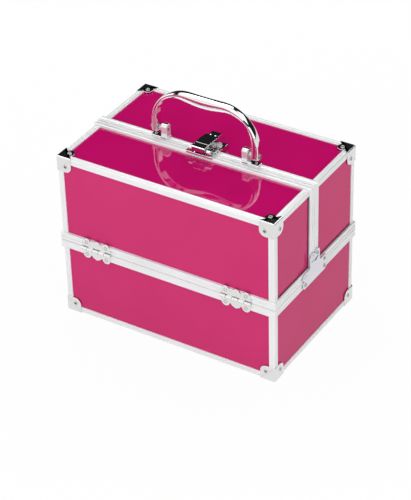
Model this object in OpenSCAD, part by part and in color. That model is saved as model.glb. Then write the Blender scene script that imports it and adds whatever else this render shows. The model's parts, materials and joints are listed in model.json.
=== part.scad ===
// Makeup train case: a tub with a fixed rear hood and a front lid that swings down,
// carrying two trays out on parallel arms. Millimetres. X is left to right,
// Y is front to back (the front is at -Y), Z is up and the case rests on Z = 0.

/* [Case] */
// Width over the plain aluminium trim
case_w = 303; // [250:1:400]
// Depth over the plain aluminium trim
case_d = 197; // [185:1:260]
// Height over the plain aluminium trim
case_h = 229; // [215:1:290]
// Height of the tub, from the underside of the trim to the seam
tub_h = 107.4; // [80:0.2:130]
// Place of the seam between lid and hood, from the middle of the depth
seam_y = -5.7; // [-9:0.1:-3]
// Gap between rims that close on each other
seam_gap = 0.4; // [0.3:0.05:0.8]

/* [Boards and lining] */
// Thickness of the laminated boards
board_t = 3.5; // [3:0.1:5]
// Thickness of the lining
lining_t = 0.8; // [0.5:0.1:1.5]

/* [Aluminium trim] */
// Thickness of the edge trim
trim_t = 1.2; // [0.8:0.1:1.6]
// Width of the edge trim on each face
trim_w = 8; // [7:0.5:10]
// How far the rims stand out from the edge trim
rim_out = 2; // [1.5:0.1:3]
// Height of the rim at the mouth of the tub, and of the rims that close on it
rim_h = 10.9; // [10:0.1:15]
// Width of the upright rims beside the lid seam
rim_w = 10.2; // [9:0.1:13]
// Material of a rim in front of a board's edge
rim_web = 3; // [2:0.1:4]
// Thickness of a rim's inner flange
rim_in = 1.3; // [1:0.1:2]
// Depth of the groove along the rims
groove_d = 0.5; // [0.2:0.1:1]
// Width of the groove along the rims
groove_w = 2.4; // [1:0.1:4]
// Width of the black sealing bead beside the upper rims, on the sides
bead_w = 0.9; // [0.6:0.1:2]
// Width of the sealing bead on the front, the rear and the top
bead_long_w = 0.5; // [0.4:0.1:1]
// Height of the sealing bead on the board
bead_t = 0.8; // [0.4:0.1:1]

/* [Corner brackets and rivets] */
// Sheet thickness of the brackets
corner_t = 1; // [0.8:0.1:1.5]
// Length of a bracket along each edge
corner_l = 21; // [19:1:30]
// Radius of a bracket's round lobe
corner_r = 8.5; // [7:0.5:9]
// Distance of a bracket's rivets from both edges
corner_rivet = 13; // [11:0.5:13.5]
// Radius of a rivet's head
rivet_r = 2.7; // [2:0.1:3.5]
// Height of a rivet's head
rivet_h = 0.9; // [0.5:0.1:1.5]
// Radius of a rivet's shank
shank_r = 1.3; // [1:0.1:1.6]

/* [Front hinges] */
// Distance of the hinges from the middle
hinge_x = 100; // [60:1:110]
// Width of a hinge
hinge_w = 43; // [36:1:50]
// Sheet thickness of a leaf
leaf_t = 1; // [0.8:0.1:1.2]
// Outer radius of the knuckles
knuckle_r = 2.2; // [2:0.1:2.6]
// Radius of the hinge pin
pin_r = 1; // [0.8:0.1:1.2]
// Clearance beside and around the knuckles
knuckle_gap = 0.3; // [0.25:0.05:0.5]

/* [Side junction plates] */
// Half width of the upright stem
stem_w = 12; // [11:0.5:14]
// Height of the stem above the seam
stem_h = 30.9; // [24:0.1:36]
// Half length of the arms
arm_l = 29.5; // [26:0.5:34]
// Sheet thickness
plate_t = 1; // [0.8:0.1:1.5]
// Gap between a plate and the lid's rim that slides behind it
plate_gap = 0.4; // [0.3:0.1:0.8]
// Half width of the pressed shield on the stem
shield_w = 11.5; // [8:0.5:11.5]
// Height of the pressed shield on the stem
shield_t = 1.2; // [0.6:0.1:2]

/* [Handle] */
// Half width over the legs
grip_w = 75.5; // [70:0.5:90]
// Width of a leg
leg_w = 9; // [7:0.5:11]
// Depth of the legs, front to back
leg_t = 9; // [6:0.5:10]
// Depth of the grip in its middle
grip_t = 12.5; // [10:0.5:14]
// Height of the grip's top above the pivot
grip_h = 60; // [58:0.5:80]
// Outer radius of the handle's shoulders
grip_corner = 52; // [44:1:56]
// Height of the finger opening above the pivot
finger_h = 51.5; // [46:0.5:53]
// Inner radius of the handle's shoulders
finger_corner = 32; // [26:1:34]
// How far the finger rest bulges down
finger_bulge = 4.2; // [1:0.1:5]
// Length of a foot below the pivot
foot_l = 4; // [3.5:0.1:6]
// Height of the pivot above the rim
pivot_h = 12.5; // [11:0.5:16]
// Height of a bracket's base under the handle's foot
base_h = 4.5; // [3:0.5:5]
// Width of a bracket's post
post_w = 8; // [6:0.5:12]
// Gap between a post and the handle's leg
post_gap = 5.5; // [3:0.5:8]
// Radius of the pivot pins
grip_pin_r = 2; // [1.5:0.1:2.5]

/* [Latch] */
// Half width of the latch plates
latch_w = 19; // [17:0.5:22]
// Thickness of the latch plates
latch_t = 2.6; // [2:0.1:2.6]
// Length of the lock plate behind the seam
lock_l = 26; // [24:0.5:30]
// Half width of the hasp
hasp_w = 9; // [8.5:0.5:10]
// Height of the hasp's pivot above the rim
hasp_pivot = 7.3; // [7.3:0.1:9]
// Sheet thickness of the hasp
hasp_t = 1.2; // [1:0.1:1.2]
// Reach of the hasp's finger tab behind the seam
tab_l = 32.7; // [30:0.1:36]

/* [Trays and arms] */
// Depth of a tray
tray_d = 76; // [68:1:76]
// Height of a tray
tray_h = 28; // [20:1:29]
// Wall of a tray
tray_t = 2; // [1.6:0.1:2.5]
// Gap between a tray's end and the side of the case
tray_side = 12; // [11.5:0.5:16]
// Height of the lid's tray pivots above a tray's underside
tray_pivot = 12; // [11:0.5:13]
// Distance of the lower tray's pivot from the hinge
crank_1 = 42; // [40:0.5:44]
// Distance of the upper tray's pivot from the hinge
crank_2 = 97; // [96:0.5:100]
// Angle of both cranks above the seam, leaning inwards
crank_a = 35; // [34:0.5:36]
// Distance from a lid pivot inwards to the arm's pivot
link_in = 26; // [24:0.5:28]
// Distance from a lid pivot down to the arm's pivot
link_down = 5; // [4:0.5:6]
// Width of an arm
arm_w = 9; // [7:0.5:10]
// Thickness of an arm
arm_t = 2; // [1.5:0.1:2.2]
// Radius of the arm and tray pins
stud_r = 2; // [1.5:0.1:2.2]
// Radial clearance of the arm and tray pins
stud_gap = 0.08; // [0.05:0.01:0.1]
// Board left outside the end of a stud
stud_cover = 1.4; // [1.2:0.1:1.6]

/* [Hidden] */
$fn = 48;
x_ext = case_w / 2;
y_ext = case_d / 2;
z_bot = corner_t;
z_top = z_bot + case_h;
z_seam = z_bot + tub_h;
// outer face of the boards
x_b = x_ext - trim_t;
y_b = y_ext - trim_t;
z_b = z_top - trim_t;
// inner face of the boards
x_i = x_b - board_t;
y_i = y_b - board_t;
z_i = z_b - board_t;
// inner face of the rims' flanges
x_f = x_i - rim_in;
y_f = y_i - rim_in;
z_f = z_i - rim_in;
// outer face of the rims
x_r = x_ext + rim_out;
y_r = y_ext + rim_out;
z_r = z_top + rim_out;
floor_z = z_bot + trim_t + board_t;
tub_top = z_seam - seam_gap / 2;
tub_rim_z = tub_top - rim_h;
up_z = z_seam + seam_gap / 2;
up_rim_z = up_z + rim_h;
// seam faces, as distances behind the middle for the hood and before it for the lid
hood_v = seam_y + seam_gap / 2;
lid_v = -seam_y + seam_gap / 2;
// hinge axis
axis_y = -y_r - knuckle_gap - knuckle_r;
axis_z = z_seam;
// middle of the whole depth, with the hinges
mid_y = (axis_y - knuckle_r + y_r) / 2;
// handle
grip_y = hood_v + rim_w / 2;
pivot_z = z_r + pivot_h;
post_x = grip_w - leg_w - post_gap - post_w;
// latch
hasp_y = seam_y - 8.8;
hasp_z = z_r + hasp_pivot;
hasp_top = hasp_z + 5.2;
plate_top = z_r + latch_t;
tongue_y = seam_y + 14.7;
tongue_t = 2.5;
plug_x = 12.8;
plug_y = tongue_y + tongue_t / 2;
plug_r = 3;
cam_l = seam_y + lock_l - 1.45 - plug_y;
// trays and arms
tray_x = x_ext - tray_side;
arm_x = tray_x + 2;
a1_y = axis_y + crank_1 * cos(crank_a);
a1_z = axis_z + crank_1 * sin(crank_a);
a2_y = axis_y + crank_2 * cos(crank_a);
a2_z = axis_z + crank_2 * sin(crank_a);
o2_y = axis_y + link_in;
o2_z = axis_z - link_down;
tray_front_1 = a1_y - 18.5;
tray_front_2 = a2_y + link_in + 5 - tray_d;

// ---------- helpers ----------

// Puts the middle of the whole case's outline over the origin
module place() {
    translate([0, -mid_y, 0]) children();
}

// A box between two X, two Y and two Z values
module box(x0, x1, y0, y1, z0, z1) {
    translate([x0, y0, z0]) cube([x1 - x0, y1 - y0, z1 - z0]);
}

// A box that reaches from -x to x
module wide(x, y0, y1, z0, z1) {
    box(-x, x, y0, y1, z0, z1);
}

// A cylinder along X between two X values
module rod(r, x0, x1, y, z) {
    translate([x0, y, z]) rotate([0, 90, 0]) cylinder(r = r, h = x1 - x0);
}

// Both sides of the case
module both_sides() {
    children();
    mirror([1, 0, 0]) children();
}

// A tubular rivet: its head is above Z = 0 and its shank reaches down
module rivet(shank) {
    difference() {
        union() {
            cylinder(r = rivet_r, h = rivet_h);
            translate([0, 0, -shank]) cylinder(r = shank_r, h = shank + rivet_h / 2);
        }
        translate([0, 0, rivet_h / 2]) cylinder(r = rivet_r * 0.42, h = rivet_h);
    }
}

// The hole for a rivet's shank
module rivet_hole(shank) {
    translate([0, 0, -shank - 1]) cylinder(r = shank_r + 0.02, h = shank + 2);
}

// ---------- corner brackets ----------

// Outline of a bracket on an upright face, from the corner inwards
module corner_face() {
    square([corner_l, corner_l - corner_r]);
    square([corner_l - corner_r, corner_l]);
    translate([corner_l - corner_r, corner_l - corner_r]) circle(r = corner_r);
}

// Outline of a bracket on the top or the underside
module corner_top() {
    polygon([[0, 0], [corner_l, 0], [corner_l, 1.5], [corner_l * 0.65, 5], [5, corner_l * 0.65],
        [1.5, corner_l], [0, corner_l]]);
    translate([corner_rivet - 1, corner_rivet - 1]) circle(r = corner_r * 0.8);
}

// Turns a plate drawn on XY to stand on the XZ plane
module on_xz() {
    translate([0, corner_t, 0]) rotate([90, 0, 0]) children();
}

// Turns a plate drawn on XY to stand on the YZ plane
module on_yz() {
    rotate([90, 0, 90]) children();
}

// Places children at one outer corner, with all axes pointing inwards
module at_corner(side, back, up) {
    translate([side * (x_ext + corner_t), back * (y_ext + corner_t), up > 0 ? z_top + corner_t : 0])
        mirror([side > 0 ? 1 : 0, 0, 0])
        mirror([0, back > 0 ? 1 : 0, 0])
        mirror([0, 0, up > 0 ? 1 : 0])
        children();
}

// Shanks or rivets of one bracket; the plate that lies on the floor has none
module corner_fixings(up, holes) {
    depth = corner_t + trim_t + board_t;
    translate([corner_rivet, 0, corner_rivet]) rotate([90, 0, 0]) one_fixing(depth, holes);
    translate([0, corner_rivet, corner_rivet]) rotate([0, -90, 0]) one_fixing(depth, holes);
    if (up > 0) translate([corner_rivet - 1, corner_rivet - 1, 0]) rotate([180, 0, 0]) one_fixing(depth, holes);
}

module one_fixing(depth, holes) {
    if (holes) rivet_hole(depth);
    if (!holes) rivet(depth);
}

module corner_bracket(up) {
    difference() {
        union() {
            linear_extrude(corner_t) corner_top();
            on_xz() linear_extrude(corner_t) corner_face();
            on_yz() linear_extrude(corner_t) corner_face();
        }
        corner_fixings(up, true);
    }
}

// All corner fixings of the tub, the hood or the lid
module tub_corner_fixings(holes) {
    both_sides() at_corner(1, -1, -1) corner_fixings(-1, holes);
    both_sides() at_corner(1, 1, -1) corner_fixings(-1, holes);
}

module hood_corner_fixings(holes) {
    both_sides() at_corner(1, 1, 1) corner_fixings(1, holes);
}

module lid_corner_fixings(holes) {
    both_sides() at_corner(1, -1, 1) corner_fixings(1, holes);
}

// ---------- tub ----------

module tub_board_holes() {
    tub_corner_fixings(true);
    hinge_fixings(-1, true);
    junction_fixings(-1, true);
}

module tub_floor() {
    color("dimgray") place() wide(x_b, -y_b, y_b, z_bot + trim_t, floor_z);
}

module tub_front() {
    color("mediumvioletred") place() difference() {
        wide(x_b, -y_b, -y_i, floor_z, tub_top - rim_web);
        tub_board_holes();
    }
}

module tub_rear() {
    color("mediumvioletred") place() difference() {
        wide(x_b, y_i, y_b, floor_z, tub_top - rim_web);
        tub_board_holes();
    }
}

module tub_side() {
    difference() {
        box(x_i, x_b, -y_i, y_i, floor_z, tub_top - rim_web);
        tub_board_holes();
        stud_hole(o2_y, o2_z);
    }
}

module tub_left() {
    color("mediumvioletred") place() mirror([1, 0, 0]) tub_side();
}

module tub_right() {
    color("mediumvioletred") place() tub_side();
}

// L-shaped strips along the bottom edges and up the corners
module tub_trim() {
    color("gainsboro") place() difference() {
        wide(x_ext, -y_ext, y_ext, z_bot, tub_rim_z);
        wide(x_b, -y_b, y_b, z_bot + trim_t, tub_rim_z + 1);
        wide(x_ext - trim_w, -y_ext - 1, y_ext + 1, z_bot + trim_w, tub_rim_z + 1);
        wide(x_ext + 1, -y_ext + trim_w, y_ext - trim_w, z_bot + trim_w, tub_rim_z + 1);
        wide(x_ext - trim_w, -y_ext + trim_w, y_ext - trim_w, z_bot - 1, z_bot + trim_w);
    }
}

// Channel that caps the tub's boards
module tub_rim() {
    mid = tub_rim_z + rim_h / 2;
    color("gainsboro") place() difference() {
        wide(x_r, -y_r, y_r, tub_rim_z, tub_top);
        wide(x_f, -y_f, y_f, tub_rim_z - 1, tub_top + 1);
        difference() {
            wide(x_b, -y_b, y_b, tub_rim_z - 1, tub_top - rim_web);
            wide(x_i, -y_i, y_i, tub_rim_z - 2, tub_top);
        }
        difference() {
            wide(x_r + 1, -y_r - 1, y_r + 1, mid - groove_w / 2, mid + groove_w / 2);
            wide(x_r - groove_d, -y_r + groove_d, y_r - groove_d, mid - groove_w, mid + groove_w);
        }
        tub_board_holes();
        both_sides() stud_hole(o2_y, o2_z);
    }
}

module tub_lining() {
    color("black") place() difference() {
        wide(x_i, -y_i, y_i, floor_z, tub_rim_z);
        wide(x_i - lining_t, -y_i + lining_t, y_i - lining_t, floor_z + lining_t, tub_rim_z + 1);
    }
}

module tub_corners() {
    color("silver") place() {
        both_sides() at_corner(1, -1, -1) corner_bracket(-1);
        both_sides() at_corner(1, 1, -1) corner_bracket(-1);
    }
}

module tub_rivets() {
    color("silver") place() {
        tub_corner_fixings(false);
        hinge_fixings(-1, false);
        junction_fixings(-1, false);
    }
}

// ---------- upper shells: the hood, and the lid as its mirror image ----------
// v is the distance of the shell's seam face behind the middle

module shell_top(v) {
    wide(x_b, v + rim_web, y_b, z_i, z_b);
}

module shell_back() {
    wide(x_b, y_i, y_b, up_z + rim_web, z_i);
}

module shell_side(v) {
    box(x_i, x_b, v + rim_web, y_i, up_z + rim_web, z_i);
}

// L-shaped strips along the top edges and down the corners
module shell_trim(v) {
    front = v + rim_w;
    difference() {
        wide(x_ext, front, y_ext, up_rim_z, z_top);
        wide(x_b, front - 1, y_b, up_rim_z - 1, z_b);
        wide(x_ext - trim_w, y_b - 1, y_ext + 1, up_rim_z - 1, z_top - trim_w);
        wide(x_ext + 1, front - 1, y_ext - trim_w, up_rim_z - 1, z_top - trim_w);
        wide(x_ext - trim_w, front - 1, y_ext - trim_w, z_b - 1, z_top + 1);
    }
}

// Channel that caps the boards along the bottom and beside the lid seam
module shell_rim(v) {
    mid_z = up_z + rim_h / 2;
    mid_v = v + rim_w / 2;
    difference() {
        union() {
            wide(x_r, v, y_r, up_z, up_rim_z);
            wide(x_r, v, v + rim_w, up_z, z_r);
        }
        wide(x_f, v - 1, y_f, up_z - 1, z_f);
        difference() {
            wide(x_b, v + rim_web, y_b, up_z + rim_web, z_b);
            wide(x_i, v, y_i, up_z, z_i);
        }
        difference() {
            wide(x_r + 1, v + rim_w, y_r + 1, mid_z - groove_w / 2, mid_z + groove_w / 2);
            wide(x_r - groove_d, v, y_r - groove_d, mid_z - groove_w, mid_z + groove_w);
        }
        difference() {
            wide(x_r + 1, mid_v - groove_w / 2, mid_v + groove_w / 2, up_rim_z, z_r + 1);
            wide(x_r - groove_d, mid_v - groove_w, mid_v + groove_w, up_z, z_r - groove_d);
        }
    }
}

// Sealing bead that lies on the boards beside the rims
module shell_bead(v) {
    front = v + rim_w;
    wide(x_ext - trim_w, y_b, y_b + bead_t, up_rim_z, up_rim_z + bead_long_w);
    both_sides() {
        box(x_b, x_b + bead_t, front, y_ext - trim_w, up_rim_z, up_rim_z + bead_w);
        box(x_b, x_b + bead_t, front, front + bead_w, up_rim_z, z_top - trim_w);
    }
    wide(x_ext - trim_w, front, front + bead_long_w, z_b, z_b + bead_t);
}

module shell_lining(v) {
    front = v + rim_w;
    difference() {
        wide(x_i, front, y_i, up_rim_z, z_i);
        wide(x_i - lining_t, front - 1, y_i - lining_t, up_rim_z - 1, z_i - lining_t);
    }
}

// ---------- hood ----------

module hood_holes() {
    hood_corner_fixings(true);
    junction_fixings(1, true);
    lock_fixings(true);
    post_screw_shapes(0.02);
}

module hood_top() {
    color("mediumvioletred") place() difference() {
        shell_top(hood_v);
        hood_holes();
    }
}

module hood_rear() {
    color("mediumvioletred") place() difference() {
        shell_back();
        hood_holes();
    }
}

module hood_right() {
    color("mediumvioletred") place() difference() {
        shell_side(hood_v);
        hood_holes();
    }
}

module hood_left() {
    color("mediumvioletred") place() mirror([1, 0, 0]) difference() {
        shell_side(hood_v);
        hood_holes();
    }
}

module hood_trim() {
    color("gainsboro") place() shell_trim(hood_v);
}

module hood_rim() {
    color("gainsboro") place() difference() {
        shell_rim(hood_v);
        hood_holes();
    }
}

module hood_bead() {
    color("black") place() shell_bead(hood_v);
}

module hood_lining() {
    color("black") place() shell_lining(hood_v);
}

module hood_corners() {
    color("silver") place() both_sides() at_corner(1, 1, 1) corner_bracket(1);
}

module hood_rivets() {
    color("silver") place() {
        hood_corner_fixings(false);
        junction_fixings(1, false);
        lock_fixings(false);
    }
}

// ---------- lid ----------

module lid_holes() {
    lid_corner_fixings(true);
    hinge_fixings(1, true);
    latch_fixings(true);
    both_sides() stud_hole(a1_y, a1_z);
    both_sides() stud_hole(a2_y, a2_z);
}

module lid_top() {
    color("mediumvioletred") place() difference() {
        mirror([0, 1, 0]) shell_top(lid_v);
        lid_holes();
    }
}

module lid_front() {
    color("mediumvioletred") place() difference() {
        mirror([0, 1, 0]) shell_back();
        lid_holes();
    }
}

module lid_right() {
    color("mediumvioletred") place() difference() {
        mirror([0, 1, 0]) shell_side(lid_v);
        lid_holes();
    }
}

module lid_left() {
    color("mediumvioletred") place() mirror([1, 0, 0]) difference() {
        mirror([0, 1, 0]) shell_side(lid_v);
        lid_holes();
    }
}

module lid_trim() {
    color("gainsboro") place() mirror([0, 1, 0]) shell_trim(lid_v);
}

module lid_rim() {
    color("gainsboro") place() difference() {
        mirror([0, 1, 0]) shell_rim(lid_v);
        lid_holes();
    }
}

module lid_bead() {
    color("black") place() mirror([0, 1, 0]) shell_bead(lid_v);
}

module lid_lining() {
    color("black") place() difference() {
        mirror([0, 1, 0]) shell_lining(lid_v);
        lid_holes();
    }
}

module lid_corners() {
    color("silver") place() both_sides() at_corner(1, -1, 1) corner_bracket(1);
}

module lid_rivets() {
    color("silver") place() {
        lid_corner_fixings(false);
        hinge_fixings(1, false);
        latch_fixings(false);
    }
}

// ---------- front hinges ----------

// Outline of a leaf above the hinge axis: two lobes and a peak between them
module leaf_outline() {
    low = knuckle_r + knuckle_gap;
    lobe = hinge_w * 0.135;
    at = rim_h * 0.8;
    translate([-hinge_w / 2, low]) square([hinge_w, at - low - 1]);
    translate([-hinge_w * 0.33, at]) circle(r = lobe);
    translate([hinge_w * 0.33, at]) circle(r = lobe);
    polygon([[-hinge_w * 0.24, low], [-hinge_w * 0.13, rim_h + 1], [0, rim_h + 3.2],
        [hinge_w * 0.13, rim_h + 1], [hinge_w * 0.24, low]]);
}

// Rivets (or holes) of the leaves: up = 1 on the lid, up = -1 on the tub
module hinge_fixings(up, holes) {
    depth = leaf_t + y_r - y_f;
    for (side = [-1, 1], rx = [-0.33, 0.33])
        translate([side * hinge_x + rx * hinge_w, -y_r - leaf_t, z_seam + up * rim_h * 0.8])
        rotate([90, 0, 0])
        one_fixing(depth, holes);
}

// One leaf with its knuckles, drawn at the hinge's middle; edges lists knuckle ends
module leaf(up, edges) {
    difference() {
        union() {
            mirror([0, 0, up > 0 ? 0 : 1])
                rotate([90, 0, 0])
                linear_extrude(leaf_t)
                leaf_outline();
            for (e = edges) {
                rod(knuckle_r, e[0], e[1], axis_y + y_r, 0);
                mirror([0, 0, up > 0 ? 0 : 1])
                    box(e[0], e[1], -leaf_t, -knuckle_gap, 0, knuckle_r + knuckle_gap + 0.5);
            }
        }
        rod(up > 0 ? pin_r + 0.05 : pin_r, -hinge_w / 2 - 1, hinge_w / 2 + 1, axis_y + y_r, 0);
    }
}

module hinge_lower() {
    k = hinge_w / 5;
    color("silver") place() difference() {
        for (side = [-1, 1])
            translate([side * hinge_x, -y_r, z_seam])
            leaf(-1, [[-2.5 * k, -1.5 * k], [-0.5 * k, 0.5 * k], [1.5 * k, 2.5 * k]]);
        hinge_fixings(-1, true);
    }
}

module hinge_upper() {
    k = hinge_w / 5;
    g = knuckle_gap;
    color("silver") place() difference() {
        for (side = [-1, 1])
            translate([side * hinge_x, -y_r, z_seam])
            leaf(1, [[-1.5 * k + g, -0.5 * k - g], [0.5 * k + g, 1.5 * k - g]]);
        hinge_fixings(1, true);
    }
}

module hinge_pins() {
    color("silver") place() for (side = [-1, 1])
        rod(pin_r, side * hinge_x - hinge_w / 2, side * hinge_x + hinge_w / 2, axis_y, axis_z);
}

// ---------- side junction plates ----------

// Outline on the YZ plane, from the point where the three rims meet
module junction_outline() {
    half = rim_h + 0.3;
    lobe = half / 2;
    translate([-stem_w, 0]) square([2 * stem_w, stem_h - stem_w / 2]);
    for (s = [-1, 1]) translate([s * stem_w / 2, stem_h - stem_w / 2]) circle(r = stem_w / 2);
    translate([-arm_l + lobe, -half]) square([2 * (arm_l - lobe), 2 * half]);
    for (s = [-1, 1], t = [-1, 1]) translate([s * (arm_l - lobe), t * lobe]) circle(r = lobe);
}

// Rivets (or holes): up = -1 into the tub's rim, up = 1 into the hood's rim
module junction_fixings(up, holes) {
    depth = plate_t + plate_gap + x_r - x_f;
    at = arm_l - rim_h * 0.55;
    spots = up < 0 ? [[-at, -rim_h / 2], [at, -rim_h / 2]]
        : [[at, rim_h / 2], [rim_w / 2 + 0.4, stem_h - 6]];
    both_sides() for (p = spots)
        translate([x_r + plate_gap + plate_t, seam_y + p[0], z_seam + p[1]])
        rotate([0, 90, 0])
        one_fixing(depth, holes);
}

module junction_plate() {
    translate([x_r, seam_y, z_seam]) on_yz() {
        translate([0, 0, plate_gap]) linear_extrude(plate_t) junction_outline();
        translate([0, 0, plate_gap + plate_t]) linear_extrude(shield_t) polygon([
            [-shield_w, stem_h - 14], [shield_w, stem_h - 14], [shield_w, rim_h - 1.5], [0, 1],
            [-shield_w, rim_h - 1.5]]);
        // pressed dimples over the lid's rim, and pads on the rims that it is riveted to
        for (p = [[-arm_l + rim_h * 0.55, rim_h / 2], [-rim_w / 2 - 0.4, stem_h - 6]])
            translate([p[0], p[1], plate_gap + plate_t]) cylinder(r = rivet_r, h = rivet_h);
        linear_extrude(plate_gap) {
            translate([-22, -rim_h]) square([44, rim_h - 1]);
            translate([1, 1]) square([21, rim_h - 1]);
            translate([1, 1]) square([rim_w - 1, stem_h - 4]);
        }
    }
}

module junction_plates() {
    color("silver") place() difference() {
        both_sides() junction_plate();
        junction_fixings(-1, true);
        junction_fixings(1, true);
    }
}

// Plates inside the rims that join the hood to the tub
module splice_plates() {
    h = rim_h * 0.8;
    color("gainsboro") place() {
        wide(x_f * 0.45, y_f - 1.2, y_f, z_seam - h, z_seam + h);
        both_sides() box(x_f - 1.2, x_f, y_f * 0.25, y_f * 0.85, z_seam - h, z_seam + h);
    }
}

// ---------- handle ----------

// Outer outline of the handle on the XZ plane, from the pivot's height
module grip_outer() {
    intersection() {
        union() {
            for (s = [-1, 1])
                translate([s * (grip_w - grip_corner), grip_h - grip_corner])
                circle(r = grip_corner, $fn = 96);
            translate([-grip_w + grip_corner, 0]) square([2 * (grip_w - grip_corner), grip_h]);
            translate([-grip_w, -foot_l]) square([2 * grip_w, grip_h - grip_corner + foot_l]);
        }
        translate([-grip_w, -foot_l]) square([2 * grip_w, grip_h + foot_l]);
    }
}

// Finger opening, with a rest that bulges down in the middle
module grip_inner() {
    w = grip_w - leg_w;
    half = w - finger_corner;
    bulge_r = (half * half + finger_bulge * finger_bulge) / (2 * finger_bulge);
    difference() {
        union() {
            for (s = [-1, 1])
                translate([s * half, finger_h - finger_corner])
                circle(r = finger_corner, $fn = 96);
            translate([-half, 0]) square([2 * half, finger_h]);
            translate([-w, -foot_l - 1]) square([2 * w, finger_h - finger_corner + foot_l + 1]);
        }
        translate([0, finger_h - finger_bulge + bulge_r]) circle(r = bulge_r, $fn = 192);
    }
}

// Outline of the handle on the XY plane: the grip is deeper than the legs
module grip_plan() {
    w = grip_w + 1;
    a = grip_w * 0.45;
    b = grip_w * 0.76;
    polygon([[-w, -leg_t / 2], [-b, -leg_t / 2], [-a, -grip_t / 2], [a, -grip_t / 2],
        [b, -leg_t / 2], [w, -leg_t / 2], [w, leg_t / 2], [b, leg_t / 2],
        [a, grip_t / 2], [-a, grip_t / 2], [-b, leg_t / 2], [-w, leg_t / 2]]);
}

module handle() {
    color("silver") place() difference() {
        translate([0, grip_y, pivot_z]) intersection() {
            translate([0, grip_t, 0]) rotate([90, 0, 0]) linear_extrude(2 * grip_t) difference() {
                grip_outer();
                grip_inner();
            }
            translate([0, 0, -foot_l - 1]) linear_extrude(grip_h + foot_l + 2) grip_plan();
        }
        rod(grip_pin_r + 0.06, -grip_w - 1, grip_w + 1, grip_y, pivot_z);
    }
}

module handle_post() {
    half = rim_w / 2 - 0.4;
    difference() {
        union() {
            box(post_x - 1, grip_w + 0.5, grip_y - half, grip_y + half, z_r, z_r + base_h);
            box(post_x, post_x + post_w, grip_y - half, grip_y + half, z_r, pivot_z);
            rod(half, post_x, post_x + post_w, grip_y, pivot_z);
        }
        rod(grip_pin_r, post_x - 1, post_x + post_w + 1, grip_y, pivot_z);
        post_screw_shapes(0);
    }
}

module handle_posts() {
    color("silver") place() both_sides() handle_post();
}

// Pivot pins with a spacer collar and an outer head
module handle_pins() {
    color("silver") place() both_sides() {
        rod(grip_pin_r, post_x, grip_w + 1.2, grip_y, pivot_z);
        rod(3.4, post_x + post_w, grip_w - leg_w - 0.3, grip_y, pivot_z);
        rod(3.4, grip_w + 0.3, grip_w + 1.3, grip_y, pivot_z);
    }
}

// Screws from inside the hood up into the posts
module post_screw_shapes(extra) {
    both_sides() for (x = [post_x + post_w / 2, grip_w - leg_w / 2]) {
        translate([x, grip_y, z_f - 1.6]) cylinder(r = 3 + extra, h = 1.6 + extra);
        translate([x, grip_y, z_f - 1]) cylinder(r = 1.5 + extra, h = z_r + base_h - 1.5 - z_f + 1);
    }
}

module post_screws() {
    color("silver") place() post_screw_shapes(0);
}

// ---------- latch ----------

// Rivets of the latch plate on the lid's rim
module latch_fixings(holes) {
    depth = plate_top - z_f;
    for (s = [-1, 1]) translate([s * (latch_w - 2.8), seam_y - 3.4, plate_top]) {
        if (holes) rivet_hole(depth);
        if (!holes) scaled_rivet(depth);
    }
}

// Rivets of the lock body on the hood
module lock_fixings(holes) {
    depth = plate_top - z_f;
    for (p = [[-1, 6.7], [1, 6.7]]) translate([p[0] * (latch_w - 2.8), seam_y + p[1], plate_top]) {
        if (holes) rivet_hole(depth);
        if (!holes) scaled_rivet(depth);
    }
}

// A rivet with a small flat head
module scaled_rivet(shank) {
    translate([0, 0, -shank]) cylinder(r = shank_r, h = shank);
    cylinder(r = 2, h = 0.6);
}

module latch_plate() {
    color("silver") place() difference() {
        union() {
            wide(latch_w, seam_y - 11.3, seam_y - 0.6, z_r, plate_top);
            both_sides() {
                rod(2.2, hasp_w + 0.8, latch_w - 3.5, hasp_y, hasp_z);
                box(hasp_w + 0.8, latch_w - 3.5, hasp_y - 1.6, hasp_y + 1.6, plate_top - 0.5, hasp_z);
            }
        }
        rod(pin_r, -latch_w, latch_w, hasp_y, hasp_z);
        latch_fixings(true);
    }
}

module latch_pin() {
    color("silver") place() rod(pin_r, -latch_w + 3.5, latch_w - 3.5, hasp_y, hasp_z);
}

// Side outline of the hasp's walls on the YZ plane, from the pivot
function wall_points() = [[-4, -1.2], [-2, -1.7], [0, -2.2], [2.5, -3.3], [30.5, -3.3],
    [30.5, 3.6], [26.5, 5], [7.2, 5], [-4, 3.6]];

module hasp() {
    tab_end = seam_y + tab_l - hasp_y;
    roof = [[-4, 3.8], [7.2, 5.2], [26.5, 5.2], [30.5, 3.9], [tab_end, 2.7],
        [tab_end, 2.7 - hasp_t], [30.5, 3.9 - hasp_t], [26.5, 5.2 - hasp_t],
        [7.2, 5.2 - hasp_t], [-4, 3.8 - hasp_t]];
    color("silver") place() translate([0, hasp_y, hasp_z]) difference() {
        union() {
            for (x = [-hasp_w, hasp_w - hasp_t]) translate([x, 0, 0])
                on_yz() linear_extrude(hasp_t) polygon(wall_points());
            difference() {
                translate([-hasp_w, 0, 0]) on_yz() linear_extrude(2 * hasp_w) polygon(roof);
                for (s = [-1, 1]) translate([s * hasp_w, 30.5, 0]) box(-2.3, 2.3, 0, tab_l, -1, 9);
            }
            wide(hasp_w, -4, -4 + hasp_t, -1.2, 3.6);
            rod(2.2, -hasp_w, hasp_w, 0, 0);
            wide(hasp_w - 0.5, -0.6, 0.6, 0.5, 4);
            difference() {
                box(-3, 5.5, tongue_y - hasp_y, tongue_y + tongue_t - hasp_y, z_b + 0.6 - hasp_z, 5);
                box(3, 6, tongue_y - hasp_y - 1, tongue_y + tongue_t - hasp_y + 1,
                    z_b + 1.2 - hasp_z, z_b + 3 - hasp_z);
            }
        }
        rod(pin_r + 0.05, -hasp_w - 1, hasp_w + 1, 0, 0);
    }
}

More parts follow.
